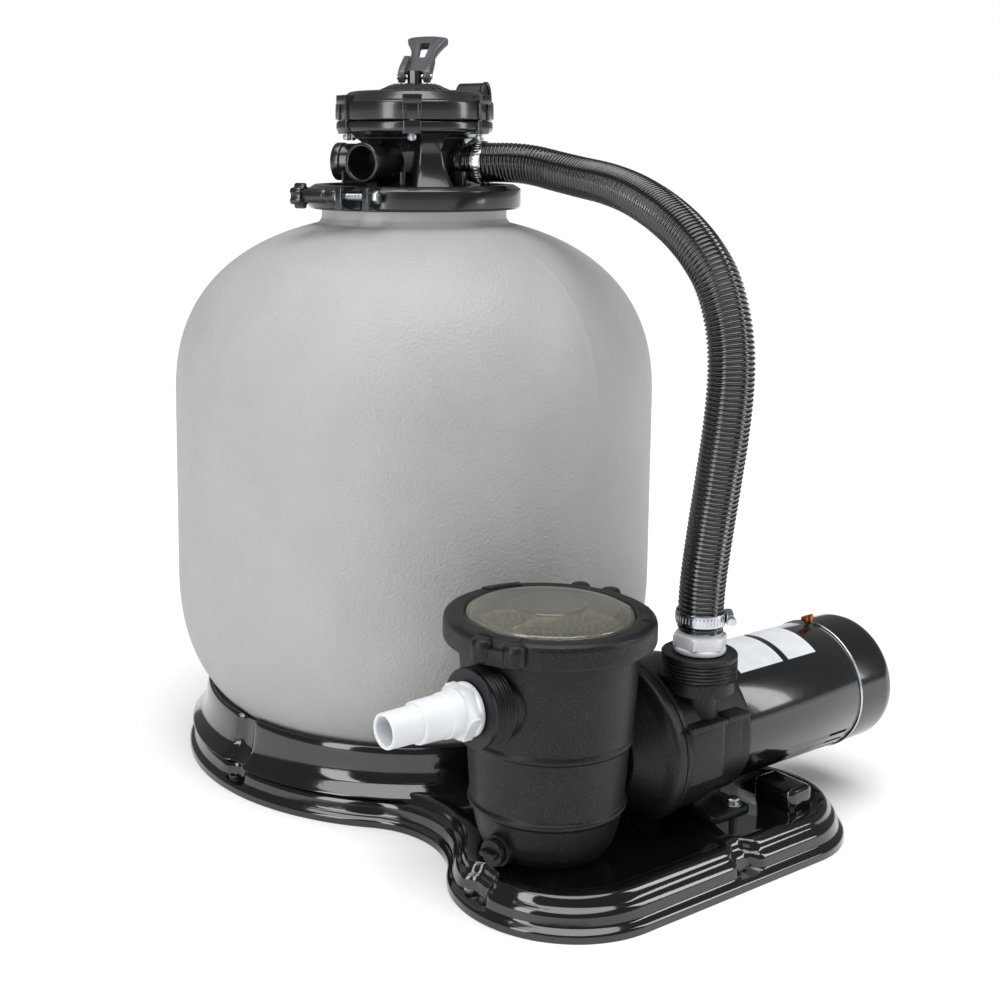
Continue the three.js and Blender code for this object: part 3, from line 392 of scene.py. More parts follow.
@dataclass(frozen=True)
class ClearFinish(Finish):
    """A see-through moulding that lets light through."""

    through: float = 0.9

    def build(self) -> bpy.types.Material:
        """The plain finish with light let through."""
        material = super().build()
        shader = next(n for n in material.node_tree.nodes if n.type == "BSDF_PRINCIPLED")
        shader.inputs["Transmission Weight"].default_value = self.through
        return material


# Blow-moulded polyethylene: a pale grey wall with the fine pebbled skin the cold mould leaves.
TANK_WALL = Finish("polyethylene_blow_moulded_grey", "#a1a1a0", "#9d9d9c", 0.5, 0.08, 3.2, 0.9, 60.0,
    ior=1.51, sparkle=0.3)
# The same resin machined round the neck: smoother and a little paler.
TANK_NECK = Finish("polyethylene_turned_neck", "#b9b9b8", "#b0b0af", 0.45, 0.04, 1.6, 0.05, 60.0, ior=1.51)
# Thermoformed ABS sheet: deep black that mirrors the lights, with a faint pull in the sheet.
BASE_SHEET = Finish("abs_thermoformed_gloss_black", "#0b0b0c", "#0e0e10", 0.1, 0.03, 9.0, 0.07, 120.0,
    ior=1.53, coat=0.5)
# Glass-filled polypropylene: dull black with pale fibre specks near the skin.
PUMP_MOULDING = Finish("polypropylene_glass_filled_black", "#0a0b0c", "#101112", 0.42, 0.1, 1.4, 0.07, 30.0,
    ior=1.36, sparkle=0.2)
# Injection-moulded ABS: even satin black.
VALVE_MOULDING = Finish("abs_moulded_satin_black", "#131416", "#18191c", 0.22, 0.05, 1.2, 0.02, 50.0,
    ior=1.53, coat=0.3)
# The lever's own resin, a charcoal lighter than the valve.
LEVER_MOULDING = Finish("abs_moulded_charcoal", "#4a4c4f", "#414346", 0.38, 0.05, 1.2, 0.02, 30.0, ior=1.53)
# Plasticised PVC over a spiral: wet-looking black ribs.
HOSE_VINYL = Finish("pvc_extruded_spiral_black", "#0a0a0b", "#101012", 0.11, 0.03, 4.0, 0.04, 40.0, ior=1.53,
    coat=0.6)
# Rigid PVC fittings: clean white with a slight sheen.
WHITE_PIPE = Finish("pvc_moulded_white", "#cfd1d4", "#c8cacd", 0.32, 0.04, 1.5, 0.02, 25.0, ior=1.53)
# Natural ABS basket: cream and slightly waxy.
BASKET_RESIN = Finish("abs_moulded_cream", "#d8cb93", "#cbbd84", 0.45, 0.05, 1.2, 0.02, 30.0, ior=1.53)
# Smoked polycarbonate: clear with a brown-grey cast.
SMOKED_LID = ClearFinish("polycarbonate_moulded_smoked", "#c6c4b6", "#bfbdae", 0.05, 0.02, 12.0, 0.02, 60.0,
    ior=1.58)
# Nitrile rubber: flat and dark.
SEAL_RUBBER = Finish("nitrile_moulded_black", "#151515", "#1b1b1b", 0.75, 0.05, 1.0, 0.03, 20.0, ior=1.52)
# Rolled stainless strip: bright, its gloss drifting a little over the roll.
STEEL_STRIP = Finish("stainless_rolled_strip", "#c9ccd0", "#b9bcc0", 0.2, 0.06, 1.2, 0.01, 12.0, metallic=1.0)
# Zinc-plated steel fixings: softer and greyer than the strip.
ZINC_FIXING = Finish("steel_zinc_plated", "#b4b7bb", "#a3a6aa", 0.32, 0.08, 0.8, 0.02, 8.0, metallic=1.0)
# Copper lug, slightly dulled.
COPPER_LUG = Finish("copper_pressed_dulled", "#b5714b", "#8f5336", 0.34, 0.08, 1.0, 0.03, 6.0, metallic=1.0)
# Enamel on rolled steel: black gloss with a soft ripple.
MOTOR_ENAMEL = Finish("steel_enamelled_gloss_black", "#0d0e10", "#111215", 0.17, 0.04, 7.0, 0.05, 90.0,
    ior=1.5, coat=0.5)
# Foil left blank: satin, a little off white.
BLANK_FOIL = Finish("polyester_foil_blank", "#d3d6da", "#c8cbcf", 0.4, 0.05, 1.5, 0.01, 18.0)
# Cast iron and laminations inside the motor.
MOTOR_IRON = Finish("iron_cast_rough", "#6c6e71", "#57595c", 0.55, 0.1, 1.2, 0.08, 15.0, metallic=1.0)


def clean_mesh(name: str, form: Form) -> bpy.types.Mesh:
    """A mesh in metres from a form, with doubled points merged and its faces turned out."""
    mesh = bpy.data.meshes.new(name)
    mesh.from_pydata((form.points * MM).tolist(), [], form.faces)
    work = bmesh.new()
    work.from_mesh(mesh)
    bmesh.ops.remove_doubles(work, verts=work.verts, dist=1e-6)
    bmesh.ops.recalc_face_normals(work, faces=work.faces)
    work.to_mesh(mesh)
    work.free()
    return mesh


@dataclass
class Workshop:
    """Turns forms into finished pieces and keeps one material per finish."""

    made: dict = field(default_factory=dict)

    def material(self, finish: Finish) -> bpy.types.Material:
        """The material of a finish, built once."""
        if finish.name not in self.made:
            self.made[finish.name] = finish.build()
        return self.made[finish.name]

    def piece(self, name: str, form: Form, finish: Finish, slot: str, body: str,
            stands_for: Sequence[str] = (), crease: float = 32) -> bpy.types.Object:
        """Makes one piece.

        Args:
            name: the piece's name.
            form: its surface in millimetres.
            finish: what it is made of.
            slot: the record's material slot; not used.
            body: the body it moves with.
            stands_for: the CAD nodes it replaces.
            crease: edges sharper than this many degrees stay sharp.

        Returns:
            The object.
        """
        mesh = clean_mesh(name, form)
        mesh.polygons.foreach_set("use_smooth", np.ones(len(mesh.polygons), bool))
        mesh.set_sharp_from_angle(angle=math.radians(crease))
        piece = bpy.data.objects.new(name, mesh)
        bpy.context.scene.collection.objects.link(piece)
        mesh.materials.append(self.material(finish))
        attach(piece, body)
        if stands_for:
            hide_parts(*stands_for)
        LOG.info("%s: %d faces on %s", name, len(mesh.polygons), body)
        return piece

    def carve(self, piece: bpy.types.Object, tools: Sequence[Form]) -> None:
        """Cuts closed forms out of a piece, exactly."""
        for k, form in enumerate(tools):
            tool = bpy.data.objects.new(f"cut_{k}", clean_mesh(f"cut_{k}", form))
            bpy.context.scene.collection.objects.link(tool)
            step = piece.modifiers.new("cut", "BOOLEAN")
            step.operation, step.solver, step.object = "DIFFERENCE", "EXACT", tool
            graph = bpy.context.evaluated_depsgraph_get()
            result = bpy.data.meshes.new_from_object(piece.evaluated_get(graph))
            piece.modifiers.remove(step)
            piece.data = result
            bpy.data.objects.remove(tool)
        piece.data.polygons.foreach_set("use_smooth", np.ones(len(piece.data.polygons), bool))
        piece.data.set_sharp_from_angle(angle=math.radians(32))

    def dress(self, finish: Finish, *nodes: str) -> None:
        """Gives CAD nodes that stay as they are a finish."""
        for node in nodes:
            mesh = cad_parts[node].data
            mesh.materials.clear()
            mesh.materials.append(self.material(finish))


ROOT = "plant"
PUMP_Y, SHAFT_Z, POT_X = -387.0, 121.0, -118.0


def along_shaft(form: Form) -> Form:
    """A form about Z laid along the pump's shaft, with Z towards the motor and its X side turned up."""
    return form.placed(toward((0, PUMP_Y, SHAFT_Z), (1, 0, 0), (0, 0, 1)))


# ------------------------------------------------------------------ sub-assemblies

@dataclass
class BaseMould:
    """The thermoformed base: pear-shaped skirt, pump deck, and rim with the tank's well."""

    lobe: float = 274.0
    pads: tuple = ((-109.0, -404.0, 116.0), (140.0, -420.0, 100.0))
    waist: float = 95.0
    flutes: tuple = ((-273, -24, 185, 13, 11), (-224, -392, 174, 17, 12), (40, -518, 270, 13, 12))
    steps: tuple = ((0, 0), (7, 0), (9.5, -3), (11.5, -6.5), (22, -8.5), (25, -10.5), (27.5, -15), (34, -17),
        (37, -20), (37.6, -27), (36.6, -33), (35.6, -35))

    def waist_centre(self, pad: tuple, side: float) -> tuple:
        """Where the circle that rounds the inner corner between lobe and pad has its centre."""
        x, y, r = pad
        d = math.hypot(x, y)
        p, q = self.lobe + self.waist, r + self.waist
        along = (p * p - q * q + d * d) / (2 * d)
        off = side * math.sqrt(p * p - along * along)
        return (x * along - y * off) / d, (y * along + x * off) / d

    def outline(self, grow: float) -> Array:
        """The closed outline: arcs of fixed centre, their radii grown or shrunk, and the straight front."""
        a, b = self.pads
        lx, ly = self.waist_centre(a, -1)
        rx, ry = self.waist_centre(b, 1)
        left, right = math.atan2(ly, lx) + TURN, math.atan2(ry, rx)
        down = -math.pi / 2

        def arc(x: float, y: float, r: float, start: float, end: float, count: int) -> Array:
            """Points on a circle from one angle to another, both included."""
            t = np.linspace(start, end, count)
            return np.column_stack([x + r * np.cos(t), y + r * np.sin(t)])
        return np.vstack([
            arc(0, 0, self.lobe + grow, right, left, 220)[:-1],
            arc(lx, ly, self.waist - grow, left - math.pi, math.atan2(a[1] - ly, a[0] - lx), 40)[:-1],
            arc(a[0], a[1], a[2] + grow, math.atan2(ly - a[1], lx - a[0]), TURN + down, 90),
            np.column_stack([np.linspace(a[0], b[0], 84)[1:-1], np.full(82, a[1] - a[2] - grow)]),
            arc(b[0], b[1], b[2] + grow, down, math.atan2(ry - b[1], rx - b[0]), 80)[:-1],
            arc(rx, ry, self.waist - grow, math.atan2(b[1] - ry, b[0] - rx) + TURN, right + math.pi,
            40)[:-1]])

    def fluted(self, loop: Array, z: float) -> Array:
        """A loop pulled in at its flutes by depth / (1 + (d / width)^8), where d is how far aside it lies."""
        pull = np.zeros(len(loop))
        lift = np.clip((z - 9) / 3, 0, 1)
        for x, y, facing, width, depth in self.flutes:
            c, s = math.cos(math.radians(facing)), math.sin(math.radians(facing))
            ahead = (loop[:, 0] - x) * c + (loop[:, 1] - y) * s
            aside = (loop[:, 1] - y) * c - (loop[:, 0] - x) * s
            pull += depth * (ahead > -60) / (1 + (aside / width) ** 8)
        return grown_each(loop, -pull * lift)

    def rim_flute(self, r: Array, z: Array, a: Array) -> Array:
        """Radii of the rim less its one upright flute: 8 / (1 + (d / 13)^8), where d is how far round it is."""
        return r - 8 * (r > 240) / (1 + ((a - math.radians(185)) * r / 13) ** 8)

    def build(self, shop: Workshop) -> None:
        """Makes the base, its rim and the raised block on the deck, and cuts the tank's well."""
        loops = []
        for z, grow in filleted(self.steps, 2.5, 4):
            loop = self.outline(grow)
            loops.append(np.column_stack([self.fluted(loop, z), np.full(len(loop), z)]))
        well = TankShell().lower(4.0, 40, 5.7)
        rim = filleted([[150, 30], [272, 30], [264, 37.2], [257, 44], [254, 56], [252, 74], [250, 81],
            [244, 82], [238, 80], [150, 80]], 4, 5)
        profile = np.vstack([rim, rim[:1]])
        body = shop.piece("base_mould", stacked(loops), BASE_SHEET, "base_sheet", ROOT, ["base_platform"], 40)
        basin = np.vstack([[[0, 5.7]], well[::-1], [[288, 230], [0, 230]]])
        shop.carve(body, [lathe(basin, 160)])
        collar = shop.piece("base_rim", lathe(profile, 300, self.rim_flute), BASE_SHEET, "base_sheet", ROOT)
        shop.carve(collar, [lathe(basin, 200)])
        shelf = block(137, 173, -480, -428, 30, 59, 9, 5)
        shop.piece("base_hump", shelf, BASE_SHEET, "base_sheet", ROOT)


def grown_each(outline: Array, by: Array) -> Array:
    """A closed outline whose points each move along the outward normal by their own amount."""
    along = np.roll(outline, -1, 0) - np.roll(outline, 1, 0)
    normal = np.stack([along[:, 1], -along[:, 0]], 1)
    return outline + by[:, None] * normal / np.linalg.norm(normal, axis=1, keepdims=True)


@dataclass
class TankShell:
    """The grey tank: two squarish domes, a straight wall and a turned neck."""

    radius: float = 284.0
    wall: float = 5.0
    foot: float = 6.0
    low: float = 225.0
    high: float = 430.0
    crown: float = 213.0
    neck: float = 109.5
    seam: float = 278.0

    def lower(self, grow: float, count: int, floor: float) -> Array:
        """Lower dome, from the wall down: r = R (1 - h^2.5)^(1/2.5), where h runs from 0 to 1."""
        t = np.linspace(0, 1, count) * math.pi / 2
        z = self.low - (self.low - floor) * np.sin(t)
        rise = np.clip((self.low - z) / (self.low - self.foot + 3 + grow), 0, 1)
        return np.column_stack([(self.radius + grow) * (1 - rise ** 2.5) ** 0.4, z])

    def upper(self, grow: float, count: int, top: float) -> Array:
        """Upper dome, from the wall up: r = R (1 - h^2.4)^(1/2.4)."""
        t = np.linspace(0, 1, count) * math.pi / 2
        z = self.high + (top - self.high) * np.sin(t)
        rise = np.clip((z - self.high) / (self.crown + grow), 0, 1)
        return np.column_stack([(self.radius + grow) * (1 - rise ** 2.4) ** (1 / 2.4), z])

    def parting(self, r: Array, z: Array, a: Array) -> Array:
        """Adds the mould's parting line, a 1.1 mm bell on two opposite meridians of the upper dome."""
        turn = np.abs((a - math.radians(self.seam) + math.pi / 2) % math.pi - math.pi / 2)
        bell = np.exp(-(turn * r / 2.6) ** 2)
        return r + 1.1 * bell * (z > self.high - 60) * (r > self.neck + 3) * (r > 0)

    def build(self, shop: Workshop) -> None:
        """Makes the wall and the neck."""
        outer = np.vstack([[[0, self.foot]], self.lower(0, 48, self.foot)[::-1],
            np.column_stack([np.full(9, self.radius), np.linspace(235, 425, 9)]), self.upper(0, 60, 632)])
        inner = np.vstack([self.upper(-self.wall, 30, 624)[::-1],
            self.lower(-self.wall, 30, self.foot + self.wall), [[0, self.foot + self.wall]]])
        shop.piece("tank_wall", lathe(np.vstack([outer, inner]), 480, self.parting), TANK_WALL, "tank_resin",
            ROOT, ["tank_shell"], 60)
        neck = filleted([[98, 624], [118.5, 631.2], [113, 633.5], [self.neck, 639], [self.neck, 648],
            [115, 653], [116, 662], [98, 662], [98, 624]], 1.2, 4)
        shop.piece("tank_neck", lathe(neck, 160), TANK_NECK, "tank_resin", ROOT)


class Side(Enum):
    """The clamp's two halves: which way round the neck each runs from the visible joint."""

    FRONT = 1
    REAR = -1


@dataclass
class NeckClamp:
    """Two clamp halves round the neck, with ears, bolts and a star knob."""

    azimuth: float = 206.0
    split: float = 12.5

    def half(self, side: int) -> Form:
        """Half a ring: the profile carried round from one joint to the other, closed at both ends."""
        section = rounded_loop([[111, 650], [123, 650], [126, 653], [126, 673], [118, 678], [108.6, 678],
            [108.6, 675], [116.4, 674], [116.4, 653.5], [111, 650.5]], 1.2, 4)
        a = math.radians(self.azimuth) + side * np.linspace(0.01, math.pi - 0.01, 90)
        loops = [np.column_stack([section[:, 0] * math.cos(t), section[:, 0] * math.sin(t),
            section[:, 1]]) for t in a]
        return stacked(loops)

    def ear(self, azimuth: float, side: int) -> Form:
        """One bolt ear standing out from the ring beside a joint."""
        y0 = self.split if side > 0 else -self.split - 9
        plate = block(118, 148, y0, y0 + 9, 652, 678, 2, 1.4)
        return plate.placed(spun(azimuth))

    def rod(self, azimuth: float, form: Form) -> Form:
        """A form along the bolt's line: local Z along the tangent at the ring of bolts."""
        c, s = math.cos(math.radians(azimuth)), math.sin(math.radians(azimuth))
        return form.placed(toward((137 * c, 137 * s, 667), (-s, c, 0), (0, 0, 1)))

    def build(self, shop: Workshop) -> None:
        """Makes both halves, both bolts and the knob."""
        other = self.azimuth + 180
        for side in Side:
            name, way = side.name.lower(), side.value
            form = joined([self.half(way), self.ear(self.azimuth, way), self.ear(other, -way)])
            shop.piece(f"clamp_{name}", form, VALVE_MOULDING, "valve_moulding", ROOT, [f"clamp_half_{name}"])
        shank = lathe([[0, -64], [3.4, -64], [4, -63], *[[4, z] for z in even(-62, 28, 0.6)], [3.4, 29],
            [0, 29]], 32, threaded(-62, 28, 1.4, 0.5))
        nut = slab(hexagon(13), 21.8, 28.5, 0.9)
        shop.piece("front_bolt", self.rod(self.azimuth, joined([shank, nut])), ZINC_FIXING, "zinc_steel",
            ROOT, ["clamp_bolt"])
        rear = joined([lathe([[0, -28], [4, -28], [4, 28], [0, 28]], 32), slab(hexagon(13), 21.8, 27.5, 0.9),
            slab(hexagon(13), -27.5, -21.8, 0.9)])
        shop.piece("rear_bolt", self.rod(other, rear), ZINC_FIXING, "zinc_steel", ROOT, ["clamp_rear_bolt"])
        disc = lathe([[4.5, -23.8], [8.6, -23.8], [9, -23.4], [9, -22.2], [8.6, -21.8], [4.5, -21.8],
            [4.5, -23.8]], 48)
        shop.piece("knob_washer", self.rod(self.azimuth, disc), ZINC_FIXING, "zinc_steel", "knob_thrust",
            ["clamp_knob_washer"])
        a = np.linspace(0, TURN, 96, endpoint=False)
        star = 12.9 + 1.6 * np.tanh(2.5 * np.cos(6 * a))
        head = slab(np.column_stack([star * np.cos(a), star * np.sin(a)]), -80, -66, 2.2)
        barrel = lathe(filleted([[0, -70], [8.6, -70], [8.6, -40], [7.2, -38], [8.4, -34], [8.4, -24.1],
            [0, -24.1]], 1.5, 4), 48)
        shop.piece("star_knob", self.rod(self.azimuth, joined([head, barrel])), VALVE_MOULDING,
            "valve_moulding", "knob", ["clamp_knob"])


@dataclass
class SelectorValve:
    """The selector valve: body with ports, cover with bosses, lever and gauge."""

    ports: tuple = ((200.0, 108.0, 21.5, 18.0), (122.0, 100.0, 21.5, 18.0))
    pump_port: float = 302.0
    port_z: float = 704.0
    tilt: float = 30.0
    lever_azimuth: float = 44.0
    pivot_z: float = 803.0
    bosses: tuple = tuple(232.0 + 60 * i for i in range(6))

    def body(self) -> Form:
        """Flared foot, waist, bowl, three ports and the shaped web between them."""
        core = lathe(filleted([[0, 649], [97, 649], [97, 665.5], [115.5, 665.5], [115.5, 673.5], [104, 674],
            [76, 678], [62, 684], [56, 694], [56, 716], [62, 727], [76, 736], [91, 739], [92, 742],
            [92, 751.6], [0, 751.6]], 4, 5), 128)
        forms = [core]
        for azimuth, reach, outer, bore in self.ports:
            pipe = filleted([[bore, 40], [outer - 1, 40], [outer, 60], [outer, reach - 12],
                [outer + 1.2, reach - 10], [outer + 1.2, reach - 1], [outer, reach], [bore + 1, reach],
                [bore, reach - 2], [bore, 40]], 0.8, 3)
            forms.append(lathe(pipe, 72).placed(radial(azimuth, self.port_z)))
            forms.append(lathe([[0, 40], [bore + 0.5, 40], [bore + 0.5, 66], [0, 66]],
                48).placed(radial(azimuth, self.port_z)))
        barb = filleted([[0, 30], [24, 30], [24, 60], [22.5, 64], [19, 66], [18.6, 98], [16, 98], [16, 90],
            [0, 90]], 1, 3)
        forms.append(lathe(barb, 72).placed(radial(self.pump_port, self.port_z)))
        web = []
        for z, r, w in ((672, 90, 30), (684, 82, 26), (700, 74, 21), (716, 71, 18), (728, 74, 19),
                (738, 82, 24)):
            loop = rounded_loop([[30, -w], [r, -w * 0.8], [r, w * 0.8], [30, w]], 6)
            web.append(np.column_stack([loop, np.full(len(loop), z)]))
        forms.append(stacked(web).placed(spun(250)))
        for azimuth in (275, 225, 160, 60):
            forms.append(block(50, 88, -3, 3, 668, 694, 1.5, 1.2).placed(spun(azimuth)))
        for azimuth in self.bosses:
            forms.append(block(66, 95.5, -11, 11, 736.5, 751.6, 3, 1.2).placed(spun(azimuth)))
        post = smooth_line([[52, 17, 724], [80, 26, 724], [108, 35, 727], [119.8, 38.9, 736],
            [119.8, 38.9, 738]], 40)
        forms.append(swept(post, lambda s, a: 9 + 0 * a, 32, (0.3, -0.95, 0.1)))
        return joined(forms)

    def cover(self) -> Form:
        """Lid ring, chamfer, ribbed dome and six screw bosses with their front channels."""
        lid = filleted([[9.6, 776], [9.6, 794.5], [26, 794.5], [32, 792.5], [39, 788], [44, 786.6],
            [70, 786.2], [77, 785], [89, 775], [92.5, 773], [93, 768], [93, 752.3], [70, 752.3], [60, 759],
            [17, 759], [17, 776], [9.6, 776]], 1.8, 5)
        forms = [lathe(lid, 160)]
        for azimuth in self.bosses:
            c = spun(azimuth)
            for y0 in (-11, 6):
                forms.append(block(78, 96, y0, y0 + 5, 752.4, 776, 1.6, 1.2).placed(c))
            forms.append(block(76, 94, -10.8, 10.8, 752.4, 772.4, 1.6, 1.0).placed(c))
            wall = rounded_loop([[72, -11], [97, -11], [97, 11], [72, 11], [72, 8], [93.5, 8], [93.5, -8],
                [72, -8]], 1.2, 4)
            forms.append(slab(wall, 770, 780.5, 0.8).placed(c))
        for k in range(24):
            rib = rounded_loop([[24, -1.1], [43, -1.6], [43, 1.6], [24, 1.1]], 0.8, 3)
            z = np.interp(rib[:, 0], [24, 43], [795.2, 787.4])
            low, top = np.column_stack([rib, z - 5]), np.column_stack([rib, z])
            forms.append(stacked([low, top]).placed(spun(15 * k)))
        return joined(forms)

    def lever_place(self) -> Array:
        """Where the lever stands: tilted about its pin, then turned to its azimuth."""
        return spun(self.lever_azimuth, 0, 0,
            self.pivot_z) @ np.array(Matrix.Rotation(-math.radians(self.tilt), 4, "Y"))

    def blade(self) -> Form:
        """The lever's waisted blade, flaring to its tip."""
        top = smooth_line([[12, 18.5], [28, 16], [46, 13.5], [62, 13.5], [78, 16.5], [90, 20.5], [98, 23],
            [103, 16], [105, 2], [104.5, -12], [99, -26], [88, -23.5], [74, -19], [60, -16.5], [44, -14.8],
            [28, -16.5], [12, -18.5]], 90)
        return slab(top, -8, 1, 1.8).placed(self.lever_place())

    def fork(self) -> Form:
        """The lever's two fork cheeks and the ribs along its blade."""
        cheek = rounded_loop([[-8, -3], [-3, -6.5], [12, -6.5], [40, -3.5], [44, 6], [10, 10], [-4, 9.5],
            [-9, 4]], 3, 5)
        forms = []
        for y in (19, -11):
            forms.append(slab(cheek, y - 8, y, 1.4).placed(toward((0, 0, 0), (0, -1, 0), (1, 0, 0))))
        for y in (-12.0, 10.5):
            rib = smooth_line([[34, y * 1.0], [56, y * 1.05], [76, y * 1.2], [95, y * 1.6]], 40)
            forms.append(swept(np.column_stack([rib, np.full(40, 1.0)]), lambda s, a: 1.3 + 0 * a, 12,
                (0, 0, 1)))
        return joined(forms).placed(self.lever_place())

    def gauge(self) -> Form:
        """The gauge: a drum with a rolled bezel and a recessed face, on a hexagonal stem."""
        drum = filleted([[0, -21], [16, -21], [21.5, -18], [22, 12], [23.2, 13], [23.2, 17], [21.6, 18],
            [19.5, 16.5], [19, 13], [0, 13]], 1.5, 5)
        place = np.array(Matrix.Translation((119.83, 38.94, 778)) @ Matrix.Rotation(math.radians(-52), 4,
            "Z") @ Matrix.Rotation(math.radians(90), 4, "Y"))
        stem = joined([lathe([[0, 738.4], [5, 738.4], [5, 760], [0, 760]], 32),
            slab(hexagon(14), 742, 756.5, 0.9)]).at(119.83, 38.94, 0)
        return joined([lathe(drum, 72).placed(place), stem])

    def build(self, shop: Workshop) -> None:
        """Makes every piece of the valve."""
        shop.piece("valve_casing", self.body(), VALVE_MOULDING, "valve_moulding", ROOT, ["valve_body"])
        shop.piece("valve_lid", self.cover(), VALVE_MOULDING, "valve_moulding", ROOT, ["valve_cover"])
        for k, azimuth in enumerate(self.bosses, 1):
            head = filleted([[0, 772.6], [5.4, 772.6], [5.4, 775.5], [4, 777], [0, 777.2]], 0.8, 4)
            screw = joined([lathe(head, 32), lathe([[0, 729], [3, 729], [3, 773], [0, 773]], 24),
                slab(hexagon(9.6), 730, 735.6, 0.6)])
            shop.piece(f"lid_screw_{k}", screw.at(88, 0, 0).placed(spun(azimuth)), ZINC_FIXING, "zinc_steel",
                ROOT, [f"cover_screw_{k}"])
        lever = shop.piece("selector_lever", self.blade(), LEVER_MOULDING, "handle_grey", "handle",
            ["valve_handle"])
        hole = slab(rounded_loop([[48, -5], [86, -7], [86, 5.5], [48, 3.5]], 3), -20, 20,
            0.5).placed(self.lever_place())
        shop.carve(lever, [hole])
        shop.piece("lever_fork", self.fork(), LEVER_MOULDING, "handle_grey", "handle")
        pin = lathe(filleted([[0, -21], [3, -21], [3, 21], [0, 21]], 0.8, 3), 32)
        c, s = math.cos(math.radians(self.lever_azimuth)), math.sin(math.radians(self.lever_azimuth))
        shop.piece("lever_pin", pin.placed(toward((0, 0, self.pivot_z), (-s, c, 0), (0, 0, 1))), STEEL_STRIP,
            "zinc_steel", "handle", ["handle_pin"])
        shop.dress(VALVE_MOULDING, "valve_rotor")
        shop.piece("gauge_drum", self.gauge(), PUMP_MOULDING, "pump_moulding", ROOT, ["pressure_gauge"])
        shop.dress(WHITE_PIPE, "stem_washer")
        shop.dress(ZINC_FIXING, "stem_spring")
        shop.dress(SEAL_RUBBER, "valve_gasket", "cover_seal", "neck_seal")


@dataclass
class TransferHose:
    """The ribbed hose and the worm-drive clamps at its ends."""

    outer: float = 22.9
    groove: float = 1.7
    pitch: float = 4.8
    route: tuple = (
        (37.1, -59.4, 704), (50.9, -81.4, 704), (64.6, -103.5, 703.8), (77, -127, 701), (86, -155, 695),
        (90, -190, 689),
        (88, -235, 683), (80, -279, 675), (68, -322, 664.5), (55.5, -362, 652), (46, -396, 637),
        (39.5, -425, 618),
        (36, -448, 594), (34.5, -463, 562), (34, -470, 530), (34, -471, 495), (34, -467, 450),
        (34, -459.5, 400),
        (34, -451.5, 350), (34, -445, 305), (34, -442.3, 274), (34, -442, 244.5))

    def ribs(self, s: Array, a: Array) -> Array:
        """Radius: the outside less the groove times (1/2 - cos(turn (s / pitch - a / turn)) / 2)^1.6."""
        wave = 0.5 - 0.5 * np.cos(TURN * (s / self.pitch - a / TURN))
        return self.outer - self.groove * wave ** 1.6

    def worm_clamp(self) -> Form:
        """A worm-drive clamp round Z: a strip with its thread marks, the housing, and the screw in it."""
        band = rounded_loop([[23.4, -6.2], [24.6, -6.2], [24.6, 6.2], [23.4, 6.2]], 0.4, 3)
        strip = lathe(np.vstack([band, band[:1]]), 96)
        house = block(24.2, 32, -9, 9, -6, 6, 2, 1.5)
        screw = lathe(filleted([[0, -18], [4.4, -18], [4.4, -12.5], [3.4, -12], [3.4, 11], [0, 11]], 0.5, 3),
            24)
        marks = [block(24.4, 25.1, -0.8, 0.8, -3.5, 3.5, 0.3, 0.2).placed(spun(k)) for k in range(28, 332, 9)]
        return joined([strip, house, screw.placed(toward((29, 0, 0), (0, 1, 0), (1, 0, 0)))] + marks)

    def build(self, shop: Workshop) -> None:
        line = smooth_line(self.route, 1560)
        hose = shop.piece("ribbed_hose", swept(line, self.ribs, 36, (1, 0, 0)), HOSE_VINYL, "hose_vinyl",
            ROOT, ["transfer_hose"], 70)
        c, s = math.cos(math.radians(302)), math.sin(math.radians(302))
        upper = self.worm_clamp().placed(toward((84 * c, 84 * s, 704), (c, s, 0), (-s * 0.7, c * 0.7, -0.72)))
        shop.piece("upper_clamp", upper, STEEL_STRIP, "zinc_steel", ROOT, ["hose_clamp_valve"])
        lower = self.worm_clamp().placed(spun(-40, 34, -442, 258))
        shop.piece("lower_clamp", lower, STEEL_STRIP, "zinc_steel", ROOT, ["hose_clamp_pump"])


